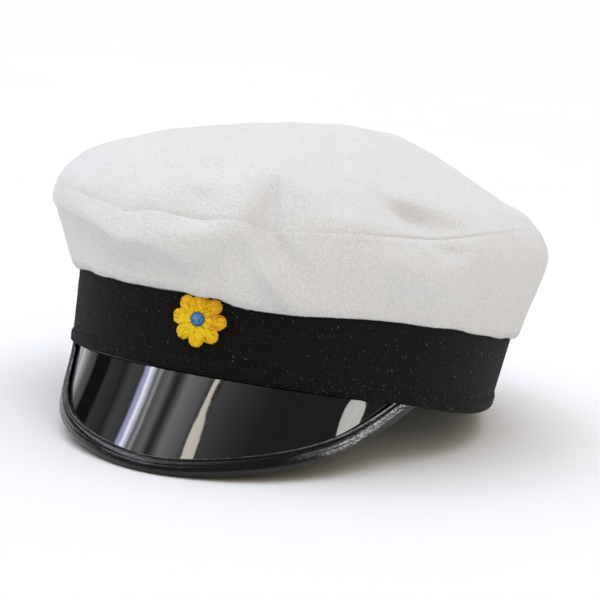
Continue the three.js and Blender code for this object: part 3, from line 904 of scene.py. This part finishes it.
def add_ring(name, points, outer_rows, materials, node):
    """A piece that goes all the way round; past its outer rows of faces it wears the second material."""
    faces = grid_faces(len(points), POINTS_AROUND, closed_rows=True)
    inside = np.arange(len(faces)) >= outer_rows * POINTS_AROUND
    add_piece(name, points, [faces], materials, node, inside, columns=POINTS_AROUND)


# Crown

def side_rows():
    """Rows of the side panel's outer face, from inside the fold of its lower edge to the seam."""
    base = EDGE_UP + GAP
    band = band_radius(AROUND, base)
    rows = []
    for turn in np.linspace(0, math.pi / 2, ROLL_ROWS // 2, endpoint=False):
        radius = band + ROLL_MIDDLE - (ROLL_MIDDLE - GAP) * math.cos(turn)
        rows.append(polar(AROUND, radius, base - ROLL_DIP * math.sin(turn)))
    low = (GAP - ROLL_DIP) / SIDE_HEIGHT
    high = (GAP + ROLL_HEIGHT) / SIDE_HEIGHT
    depth = side_radius(low) - band - ROLL_MIDDLE
    for turn in np.linspace(0, math.pi / 2, ROLL_ROWS, endpoint=False):
        share = low + (high - low) * (1 - math.cos(turn))
        rows.append(side_points(share, depth * (1 - math.sin(turn))))
    for step in np.linspace(0, 1, SIDE_ROWS):
        share = high + (1 - high) * (1 - (1 - step) ** SEAM_CROWDING)
        rows.append(side_points(share) + seam_push((1 - share) * SIDE_HEIGHT))
    return np.stack(rows)


def with_nap(points):
    """A panel's outer face with the unevenness of its cloth and nap, fading out at the seam."""
    rough = CLOTH_UNEVEN * ripple(points, CLOTH_WAVE, CLOTH_SEED)
    rough = rough + NAP_HEIGHT * ripple(points, NAP_WAVE, NAP_SEED, NAP_WAVES)
    fade = 1 - bell(np.linalg.norm(points - points[-1], axis=-1), SEAM_FADE)
    return points + grid_normals(points) * (rough * fade)[..., None]


def add_crown_side(front, back):
    """Side panel: its lower edge folds over the top of the band and is tucked inside it."""
    outer = with_nap(side_rows())
    shares = np.linspace(INNER_TOP, INNER_BOTTOM, INNER_ROWS)
    walls = [CLOTH + INNER_STEP] + [CLOTH] * (INNER_ROWS - 1)
    inner = [side_points(share, wall) for share, wall in zip(shares, walls)]
    base = EDGE_UP + GAP
    for deep, wall in ((-CLOTH, TUCK_WALL), (TUCK_DEPTH, TUCK_WALL), (TUCK_DEPTH, 0), (0, 0)):
        band = band_radius(AROUND, base - max(deep, 0))
        inner.append(polar(AROUND, band - BAND_WALL - GAP - wall, base - deep))
    points = np.concatenate([outer, np.stack(inner)])
    add_ring("crown_side_velour", points, len(outer) - 1, [front, back], "crown_side")
    return outer


def dome_rise(share, full):
    """Rise of the top panel at a share of the way from its highest point to the seam."""
    sunk = np.hypot(share, APEX_ROUNDNESS) - APEX_ROUNDNESS
    slope = sunk / (math.hypot(1, APEX_ROUNDNESS) - APEX_ROUNDNESS)
    return (1 - full) * (1 - slope) + full * np.sqrt(np.maximum(0, 1 - share ** 2))


def top_points(share, inward, lower):
    """Points of the top panel; inward and lower bring the outer face in to the inner one."""
    edge = polar(AROUND, side_radius(np.ones(POINTS_AROUND)) - inward, SEAM_UP)
    x = APEX_X + (edge[..., 0] - APEX_X) * share
    y = APEX_Y + (edge[..., 1] - APEX_Y) * share
    up = SEAM_UP + (BAND_HEIGHT + APEX_UP - lower - SEAM_UP) * dome_rise(share, crown_value("full"))
    place = np.stack(np.broadcast_arrays(x, y, up), -1)
    run = np.linalg.norm(edge - (APEX_X, APEX_Y, BAND_HEIGHT + APEX_UP), axis=-1)
    return pushed(place, fold_push((1 - share) * run))


def add_crown_top(front, back):
    """Top panel: a soft dome, highest away from the side it slumps to."""
    share = 1 - (1 - np.linspace(0, 1, TOP_RINGS + 1)[1:, None]) ** SEAM_CROWDING
    outer = top_points(share, 0, 0)
    outer = with_nap(outer + seam_push(np.linalg.norm(outer - outer[-1], axis=-1)))
    share = np.sin(np.linspace(0, 1, INNER_ROWS * 2)[1:, None] * math.pi / 2)
    inner = top_points(share, TOP_EDGE_WALL + INNER_STEP, CLOTH)[::-1]
    rings = np.concatenate([outer, inner])
    poles = np.stack([outer[0].mean(0), inner[-1].mean(0)])
    points = np.concatenate([rings.reshape(-1, 3), poles])
    quads = grid_faces(len(rings), POINTS_AROUND)[:, ::-1]
    last = (len(rings) - 1) * POINTS_AROUND
    outer_cap = fan_faces(len(points) - 2, 0, POINTS_AROUND)
    inner_cap = fan_faces(len(points) - 1, last, POINTS_AROUND)[:, ::-1]
    inside = np.arange(len(quads)) >= (len(outer) - 1) * POINTS_AROUND
    wears = np.concatenate([inside, np.zeros(POINTS_AROUND), np.ones(POINTS_AROUND)])
    add_piece("crown_top_velour", points, [quads, outer_cap, inner_cap], [front, back],
              "crown_top", wears, columns=POINTS_AROUND)
    return outer


def add_fibres(name, grid, count, lean, material):
    """Loose fibres of the nap standing on a grid of points, each a thin blade."""
    step = np.linalg.norm(np.roll(grid, -1, 1) - grid, axis=-1)[:-1]
    area = step * np.linalg.norm(np.diff(grid, axis=0), axis=-1)
    chosen = random.choice(area.size, count, p=(area / area.sum()).ravel())
    row, column = np.unravel_index(chosen, area.shape)
    share = random.uniform(size=(count, 1))
    root = grid[row, column] * (1 - share) + grid[row + 1, (column + 1) % POINTS_AROUND] * share
    way = unit(grid_normals(grid)[row, column] + lean * random.normal(size=(count, 3)))
    side = unit(np.cross(way, random.normal(size=(count, 3)))) * FIBRE_WIDTH / 2
    end = root + way * (FIBRE_LENGTH * random.uniform(*FIBRE_SPREAD, (count, 1)))
    points = np.stack([root - side, root + side, end], 1).reshape(-1, 3)
    add_piece(name, points, [np.arange(len(points)).reshape(-1, 3)], [material])


# Band

def add_band(front, back):
    """Band: velvet turned up at its lower edge into a soft hem."""
    hem = hem_line(AROUND)
    low = hem + HEM_HEIGHT
    top = EDGE_UP
    rows = [(EDGE_ROUND - BAND_WALL, hem), (HEM_SWELL - HEM_ROUND, hem)]
    for turn in np.linspace(0, math.pi / 2, HEM_ROUND_ROWS)[1:]:
        rows.append((HEM_SWELL - HEM_ROUND * (1 - math.sin(turn)), hem + HEM_ROUND * (1 - math.cos(turn))))
    for up in np.linspace(HEM_ROUND, HEM_HEIGHT - HEM_ROUND, HEM_ROWS)[1:]:
        rows.append((HEM_SWELL, hem + up))
    for turn in np.linspace(0, math.pi / 2, HEM_ROWS)[1:]:
        rows.append((HEM_SWELL * math.cos(turn), low - HEM_ROUND * (1 - math.sin(turn))))
    for share in np.linspace(0, 1, BAND_ROWS)[1:]:
        rows.append((0, low + (top - EDGE_ROUND - low) * share))
    rows.append((-EDGE_ROUND, top))
    outer_rows = len(rows)
    rows.append((EDGE_ROUND - BAND_WALL, top))
    for share in np.linspace(0, 1, INNER_ROWS):
        rows.append((-BAND_WALL, top - EDGE_ROUND + (hem - top + 2 * EDGE_ROUND) * share))
    points = np.stack([polar(AROUND, band_radius(AROUND, up) + out, up) for out, up in rows])
    outer = points[:outer_rows]
    rough = BAND_ROUGHNESS * ripple(outer, NAP_WAVE, PILE_SEED, PILE_WAVES)
    outer += grid_normals(outer) * rough[..., None]
    add_ring("band_velvet_ring", points, outer_rows, [front, back], "band")
    return outer


def add_lint(outer, material):
    """Specks of lint caught on the velvet."""
    row = random.integers(LINT_LOW_ROWS, len(outer) - LINT_TOP_ROWS, LINT)
    column = random.integers(0, POINTS_AROUND, LINT)
    outward = grid_normals(outer)[row, column]
    across = unit(np.cross(outward, random.normal(size=(LINT, 3))))
    length = LINT_LENGTH * random.exponential(LINT_LONG, (LINT, 1)) + LINT_LEAST
    middle = outer[row, column] + outward * LINT_RADIUS
    bow = unit(np.cross(outward, across)) * length * random.normal(0, LINT_BOW, (LINT, 1))
    steps = np.linspace(-1, 1, LINT_POINTS)
    paths = np.stack([middle + across * length * s + bow * (1 - s * s) for s in steps], 1)
    points, faces = tubes(paths, LINT_RADIUS * random.uniform(*LINT_SPREAD, (LINT, 1)), LINT_SIDES)
    add_piece("band_lint", points, faces, [material])


# Peak and binding

def peak_loss(share):
    """Loss of the peak's length from its middle towards an end, before it is scaled."""
    return np.hypot(share, PEAK_BLUNTNESS) ** PEAK_TAPER - PEAK_BLUNTNESS ** PEAK_TAPER


def peak_line(share):
    """Fan lines of the peak's upper face: where they leave the band, their direction and the normal."""
    angle = share * PEAK_END_ANGLE
    slope = np.radians(PEAK_SLOPE + PEAK_SLOPE_GAIN * share ** 2)[..., None]
    root = polar(angle, band_radius(angle, 0) - GAP - PEAK_END_TUCK * share ** 2, hem_line(angle) - GAP)
    outward = unit((root - (0, PEAK_FAN_Y, 0)) * (1, 1, 0))
    upward = np.array((0, 0, 1.0))
    along = outward * np.cos(slope) - upward * np.sin(slope)
    normal = outward * np.sin(slope) + upward * np.cos(slope)
    return root, along, normal


def sheet_length(share):
    """Length of the bare sheet along its fan line, which ends inside the binding's fold."""
    length = PEAK_LENGTH * (1 - peak_loss(share) / peak_loss(1)) * (1 - PEAK_SKEW * share)
    return length - BINDING_WALL - BINDING_EASE


def sheet_edge(share):
    """Points on the edge of the sheet's upper face."""
    root, along = peak_line(share)[:2]
    return root + along * sheet_length(share)[..., None]


def add_bar(name, loops, material, node):
    """A piece made of section loops, with closed ends."""
    count = loops.shape[1]
    faces = [group[:, ::-1] for group in bar_faces(len(loops), count)]
    add_piece(name, loops.reshape(-1, 3), faces, [material], node, columns=count)


def add_peak(material):
    """Peak: a patent sheet with a flange that stands up inside the band."""
    share = np.linspace(-PEAK_LAST_SHARE, PEAK_LAST_SHARE, PEAK_STEPS + 1)
    angle = share * PEAK_END_ANGLE
    root, along, normal = peak_line(share)
    run = [sheet_length(share)[:, None] * step for step in np.linspace(0, 1, PEAK_ROWS + 1)]
    flange = band_radius(angle, 0) - BAND_WALL - PEAK_FLANGE_EASE
    inside = flange - PEAK_FLANGE_WALL
    lean = BAND_LEAN * PEAK_FLANGE_HEIGHT
    loop = [polar(angle, flange + lean, PEAK_FLANGE_HEIGHT), polar(angle, flange, root[:, 2])]
    loop += [root + along * far for far in run]
    loop += [root + along * np.maximum(far, PEAK_SHEET) - normal * PEAK_SHEET for far in run[::-1]]
    loop.append(polar(angle, inside, root[:, 2] - PEAK_SHEET))
    loop.append(polar(angle, inside + lean, PEAK_FLANGE_HEIGHT))
    add_bar("peak_patent_sheet", np.stack(loop, 1), material, "peak")


def binding_axes(share):
    """Edge of the sheet, with the axes and the width of the binding's section there."""
    nudge = 0.5 / PEAK_STEPS
    along, normal = peak_line(share)[1:]
    tangent = unit(sheet_edge(share + nudge) - sheet_edge(share - nudge))
    outward = unit(along - tangent * (along * tangent).sum(-1, keepdims=True))
    face = np.cross(outward, tangent)
    face = face * np.sign((face * normal).sum(-1, keepdims=True))
    most = BINDING_WIDTH + BINDING_END_GAIN * np.clip(share, 0, 1) ** 2
    width = np.clip(sheet_length(share) + BINDING_TUCK, BINDING_LEAST_WIDTH, most)
    return sheet_edge(share), outward, face, width


def binding_up(inset, width):
    """Height of the binding's upper face over the sheet, at a distance from its inner edge."""
    bow = BINDING_ROUND * (1 - (2 * inset / width - 1) ** 2)
    stitched = GROOVE_DEPTH * bell(inset - GROOVE_INSET, GROOVE_WIDTH)
    creased = CREASE_DEPTH * bell(inset - CREASE_INSET, GROOVE_WIDTH)
    edge = BINDING_EDGE_DROP * bell(inset, BINDING_EDGE_ROUND)
    return BINDING_EASE + BINDING_WALL + bow - stitched - creased - edge


def add_binding(material):
    """Binding: a strip folded over the sheet's edge, narrowing where the peak runs out."""
    share = np.linspace(-BINDING_LAST_SHARE, BINDING_LAST_SHARE, BINDING_STEPS + 1)
    edge, outward, face, width = binding_axes(share)
    low = -PEAK_SHEET - BINDING_EASE
    half = BINDING_WALL + BINDING_EASE + PEAK_SHEET / 2
    section = [(-width, BINDING_EASE), (BINDING_EASE, BINDING_EASE), (BINDING_EASE, low), (-width, low)]
    section.append((-width, low - BINDING_WALL))
    for turn in np.linspace(-math.pi / 2, math.pi / 2, BINDING_ARC_ROWS * 2):
        out = BINDING_EASE + BINDING_WALL * math.cos(turn)
        section.append((out, -PEAK_SHEET / 2 + half * math.sin(turn)))
    for step in np.linspace(1, 0, BINDING_FACE_ROWS)[1:]:
        inset = step * (width + BINDING_EASE)
        section.append((inset - width, binding_up(inset, width + BINDING_EASE)))
    loop = []
    for out, up in section:
        loop.append(edge + outward * np.reshape(out, (-1, 1)) + face * np.reshape(up, (-1, 1)))
    add_bar("peak_binding_strip", np.stack(loop, 1), material, "peak_binding")


def stitch_dip(steps):
    """Sink of a stitch, from 0 at its middle to 1 at its ends, for steps from -1 to 1."""
    return np.abs(steps) ** 4


def add_stitches(material):
    """Row of stitches along the binding's inner edge, with a painted highlight that makes them brighter
    towards the wearer's left.
    """
    fine = np.linspace(-BINDING_LAST_SHARE, BINDING_LAST_SHARE, EDGE_SAMPLES)
    edge = sheet_edge(fine)
    run = np.cumsum(np.linalg.norm(np.diff(edge, axis=0, prepend=edge[:1]), axis=1))
    middles = np.arange(STITCH_PITCH, run[-1] - STITCH_PITCH, STITCH_PITCH)
    steps = np.linspace(-1, 1, THREAD_POINTS)
    share = np.interp(middles[:, None] + steps * STITCH_LENGTH / 2, run, fine)
    edge, outward, face, width = binding_axes(share.ravel())
    kept = (width > STITCH_INSET + STITCH_RADIUS).reshape(share.shape).all(1)
    rise = binding_up(STITCH_INSET, BINDING_WIDTH) + STITCH_RADIUS * STITCH_RISE
    up = rise - STITCH_RADIUS * STITCH_SINK * np.tile(stitch_dip(steps), len(middles))
    path = edge - outward * (width - STITCH_INSET)[:, None] + face * up[:, None]
    paths = path.reshape(*share.shape, 3)[kept]
    points, faces = tubes(paths, STITCH_RADIUS, THREAD_SIDES)
    bright = STITCH_TONE * random.uniform(0, 1, len(paths))
    # Painted highlight: the stitches' tone rises towards the wearer's left end
    bright = bright + STITCH_END_HIGHLIGHT * np.clip(share[kept, 0], 0, 1) ** 2
    tone = np.repeat(bright, THREAD_POINTS * THREAD_SIDES)
    add_piece("binding_stitches", points, faces, [material], tone=tone)


# Cockade

def front_points(across, up, out):
    """Points over the front of the band, below the crown's edge: across and up from the flower's middle,
    and out from the band."""
    angle = np.degrees(np.arcsin((across + FLOWER_ACROSS) / BAND_HALF_LENGTH))
    up = np.minimum(FLOWER_UP + up, crown_line(angle) - FLOWER_CLEAR)
    return polar(angle, band_radius(angle, up) + out, up)


def pad_rings(rows, turn, radius):
    """Rings of points of a pad round the flower's middle."""
    x = radius * np.cos(turn)
    y = radius * np.sin(turn)
    return np.stack([front_points(row["far"] * x, row["far"] * y, row["out"]) for row in rows])


def add_embroidery(name, pad, pad_tone, paths, tones, thin, material, node):
    """Threads with tones of their own over a pad; thin says how much a thread narrows to its ends."""
    steps = np.linspace(-1, 1, len(paths[0]))
    points, threads = tubes(np.array(paths), THREAD_RADIUS * (1 - thin * stitch_dip(steps)), THREAD_SIDES)
    rings, count = pad.shape[:2]
    faces = bar_faces(rings, count) + [group + rings * count for group in threads]
    tone = np.concatenate([np.full(rings * count, pad_tone), np.repeat(tones, len(steps) * THREAD_SIDES)])
    points = np.concatenate([pad.reshape(-1, 3), points])
    add_piece(name, points, faces, [material], node, tone=tone)


def flower_outline(turn):
    """Distance of the flower's edge from its middle: round lobes side by side."""
    pitch = 2 * math.pi / FLOWER_LOBES
    off = (turn + pitch / 2) % pitch - pitch / 2
    middle = FLOWER_RADIUS * (1 - LOBE_SHARE)
    return middle * np.cos(off) + np.sqrt((FLOWER_RADIUS * LOBE_SHARE) ** 2 - (middle * np.sin(off)) ** 2)


def flower_height(share):
    """Height of the embroidery over the band at a share of the way to its edge."""
    return FLOWER_EDGE + (FLOWER_THICKNESS - FLOWER_EDGE) * np.sqrt(np.maximum(0, 1 - share ** 4))


def flower_tone(way, far):
    """Mean tone of a stitch: brighter in the lobes' middles, away from the shade and near the centre."""
    lobe = FLOWER_LOBE_TONE * math.cos(way * FLOWER_LOBES)
    shade = FLOWER_SHADE * math.cos(way - math.radians(FLOWER_SHADE_ANGLE))
    return FLOWER_TONE + lobe - shade + FLOWER_INNER_TONE * (1 - far)


def add_flower(material):
    """Flower: rings of satin stitches fanning out over a low pad."""
    steps = np.linspace(0, 1, THREAD_POINTS)
    dip = FLOWER_SINK * stitch_dip(2 * steps - 1)
    paths = []
    tones = []
    for ring in FLOWER_RINGS:
        for k in range(ring["count"]):
            way = 2 * math.pi * (k + random.uniform(-FLOWER_SHIFT, FLOWER_SHIFT)) / ring["count"]
            far = flower_outline(way) * ring["far"] * random.uniform(*FLOWER_REACH)
            slant = way + math.radians(random.normal(0, FLOWER_SLANT))
            back = (1 - steps) * ring["length"] * random.uniform(*FLOWER_STRETCH)
            x = far * math.cos(way) - back * math.cos(slant)
            y = far * math.sin(way) - back * math.sin(slant)
            lift = ring["lift"] + random.uniform(-FLOWER_LIFT, FLOWER_LIFT) - dip
            paths.append(front_points(x, y, flower_height(np.hypot(x, y) / FLOWER_RADIUS) + lift))
            tone = flower_tone(way, ring["far"]) + random.normal(0, FLOWER_TONE_SPREAD)
            tones.append(np.clip(tone, 0, 1))
    turn = np.linspace(0, 2 * math.pi, FLOWER_STEPS, endpoint=False)
    pad = pad_rings(FLOWER_PAD_RINGS, turn, flower_outline(turn) * FLOWER_PAD)
    add_embroidery("cockade_flower_threads", pad, FLOWER_PAD_TONE, paths, tones, FLOWER_THIN, material,
                   "cockade_flower")


def add_centre(material):
    """Centre: short stitches over a small round pad."""
    steps = np.linspace(-1, 1, CENTRE_POINTS)
    half = steps * CENTRE_STITCH / 2
    paths = []
    tones = []
    for _ in range(CENTRE_THREADS):
        way = random.uniform(0, 2 * math.pi)
        far = math.sqrt(random.uniform()) * (CENTRE_RADIUS - CENTRE_STITCH / 2)
        slant = math.radians(random.normal(CENTRE_SLANT, CENTRE_SLANT_SPREAD))
        x = far * math.cos(way) + half * math.cos(slant)
        y = far * math.sin(way) + half * math.sin(slant)
        dome = np.sqrt(np.maximum(0, 1 - (x ** 2 + y ** 2) / CENTRE_RADIUS ** 2))
        lift = CENTRE_SEAT + CENTRE_RISE * dome + random.uniform(0, CENTRE_LIFT)
        paths.append(front_points(x, y, lift - CENTRE_SINK * stitch_dip(steps)))
        tones.append(random.uniform(0, 1))
    turn = np.linspace(0, 2 * math.pi, CENTRE_STEPS, endpoint=False)
    pad = pad_rings(CENTRE_PAD_RINGS, turn, CENTRE_RADIUS)
    add_embroidery("cockade_centre_threads", pad, CENTRE_PAD_TONE, paths, tones, 0, material,
                   "cockade_centre")


# Studio

def add_camera():
    """Camera at the photograph's angle."""
    data = bpy.data.cameras.new("camera")
    data.sensor_width = CAMERA_SENSOR
    data.lens = CAMERA_LENS
    camera = linked("camera", data)
    elevation = math.radians(CAMERA_ELEVATION)
    back = Vector(polar(CAMERA_AZIMUTH, math.cos(elevation), math.sin(elevation)))
    level = Vector(polar(CAMERA_AZIMUTH + 90, 1, 0))
    roll = math.radians(CAMERA_ROLL)
    right = level * math.cos(roll) + back.cross(level) * math.sin(roll)
    turned = Matrix((right, back.cross(right), back)).transposed()
    camera.matrix_world = Matrix.Translation(Vector(CAMERA_AIM) + back * CAMERA_DISTANCE) @ turned.to_4x4()
    bpy.context.scene.camera = camera


def add_mirrored(name, roll, y, radius, material):
    """A sheet arched over the cap, seen only where the cap mirrors it."""
    turn = np.radians(roll)
    points = np.stack(np.broadcast_arrays(np.sin(turn) * radius, y, np.cos(turn) * radius), -1)
    faces = grid_faces(*points.shape[:2], closed=False)
    mesh = bpy.data.meshes.new(name)
    mesh.from_pydata(points.reshape(-1, 3).tolist(), [], faces.tolist())
    mesh.materials.append(material)
    sheet = linked(name, mesh)
    sheet.location = SCREEN_MIDDLE
    sheet.visible_camera = False
    sheet.visible_diffuse = False
    sheet.visible_shadow = False
    sheet.visible_transmission = False


def add_screen():
    """Arched screen over the cap, with stripes by its roll."""
    look = Look("screen")
    split = look.fed("ShaderNodeSeparateXYZ", "Vector", look.place)
    roll = look.calculate("ARCTAN2", split.outputs["X"], split.outputs["Z"])
    span = math.radians(SCREEN_SPAN)
    stops = []
    for row in SCREEN_STOPS:
        colour = [row[part] * row["bright"] / SCREEN_STRENGTH for part in ("red", "green", "blue")]
        stops.append(((row["roll"] / SCREEN_SPAN + 1) / 2, colour))
    material = look.shining(look.ramp(look.to_range(roll, 0, 1, -span, span), stops), SCREEN_STRENGTH)
    y = np.array([[-SCREEN_LENGTH / 2], [SCREEN_LENGTH / 2]])
    rolls = np.linspace(-SCREEN_SPAN, SCREEN_SPAN, SCREEN_STEPS)
    add_mirrored("screen", rolls, y, SCREEN_RADIUS, material)


def add_card(name, rows, colour, bright):
    """Card just inside the screen, a little uneven."""
    look = Look(name)
    dim = [part * CARD_DIM for part in colour]
    material = look.shining(look.ramp(look.noise(12), [(0.3, dim), (0.7, colour)]), bright)
    roll = np.array([[row["left"], row["right"]] for row in rows])
    y = np.array([[row["y"]] for row in rows])
    add_mirrored(name, roll, y, CARD_RADIUS, material)


def add_sun(name, azimuth, elevation, breadth, colour, strength):
    """A broad soft light from far away, too soft to be mirrored."""
    data = bpy.data.lights.new(name, "SUN")
    data.angle = math.radians(breadth)
    data.color = colour
    data.energy = strength
    light = linked(name, data)
    light.visible_glossy = False
    light.visible_camera = False
    light.rotation_euler = (math.radians(90 - elevation), 0, math.radians(azimuth))


def add_sky():
    """Weak warm light from all round, which is mirrored as dim white and seen as white."""
    world = bpy.data.worlds.new("studio")
    bpy.context.scene.world = world
    world.use_nodes = True
    tree = world.node_tree
    plain = find_node(tree, "BACKGROUND")
    set_values(plain, Color=(*SKY_COLOUR, 1), Strength=SKY_LIGHT)
    rays = new_node(tree, "ShaderNodeLightPath")
    sky = plain.outputs[0]
    for ray, strength in (("Is Glossy Ray", SKY_MIRRORED), ("Is Camera Ray", SKY_SEEN)):
        other = new_node(tree, "ShaderNodeBackground", Color=(1, 1, 1, 1), Strength=strength)
        mix = new_node(tree, "ShaderNodeMixShader")
        for socket, value in enumerate((rays.outputs[ray], sky, other.outputs[0])):
            tree.links.new(value, mix.inputs[socket])
        sky = mix.outputs[0]
    tree.links.new(sky, find_node(tree, "OUTPUT_WORLD").inputs["Surface"])


def add_floor():
    """Plain pale floor under the cap."""
    mesh = bpy.data.meshes.new("floor")
    corners = np.array([(-1, -1, 0), (1, -1, 0), (1, 1, 0), (-1, 1, 0)]) * FLOOR_HALF
    mesh.from_pydata(corners.tolist(), [], [(0, 1, 2, 3)])
    mesh.materials.append(pale_floor())
    floor = linked("floor", mesh)


add_camera()
add_sky()
add_floor()
add_screen()
for card in CARDS:
    add_card(**card)
for sun in SUNS:
    add_sun(**sun)
bpy.context.scene.view_settings.view_transform = "Standard"

cloth = velour("crown_velour", *VELOUR)
cloth_back = knit_back("crown_cloth_back", *CLOTH_BACK)
side_face = add_crown_side(cloth, cloth_back)
top_face = add_crown_top(cloth, cloth_back)
band_face = add_band(velvet("band_velvet", *VELVET), velvet("band_inside", *VELVET_BACK))
add_fibres("crown_side_nap", side_face[ROLL_ROWS:], FIBRES, FIBRE_LEAN, cloth)
add_fibres("crown_top_nap", top_face[BARE_RINGS:], FIBRES, FIBRE_LEAN, cloth)
add_fibres("crown_hem_nap", side_face[HEM_FIBRE_ROWS], HEM_FIBRES, HEM_FIBRE_LEAN, cloth)
add_lint(band_face, lint_fibre())
add_peak(patent())
add_binding(grained_leather())
add_stitches(thread("binding_thread", BINDING_THREAD, roughness=0.25, gloss=0.9))
add_flower(thread("cockade_yellow", YELLOW_THREAD))
add_centre(thread("cockade_blue", BLUE_THREAD))
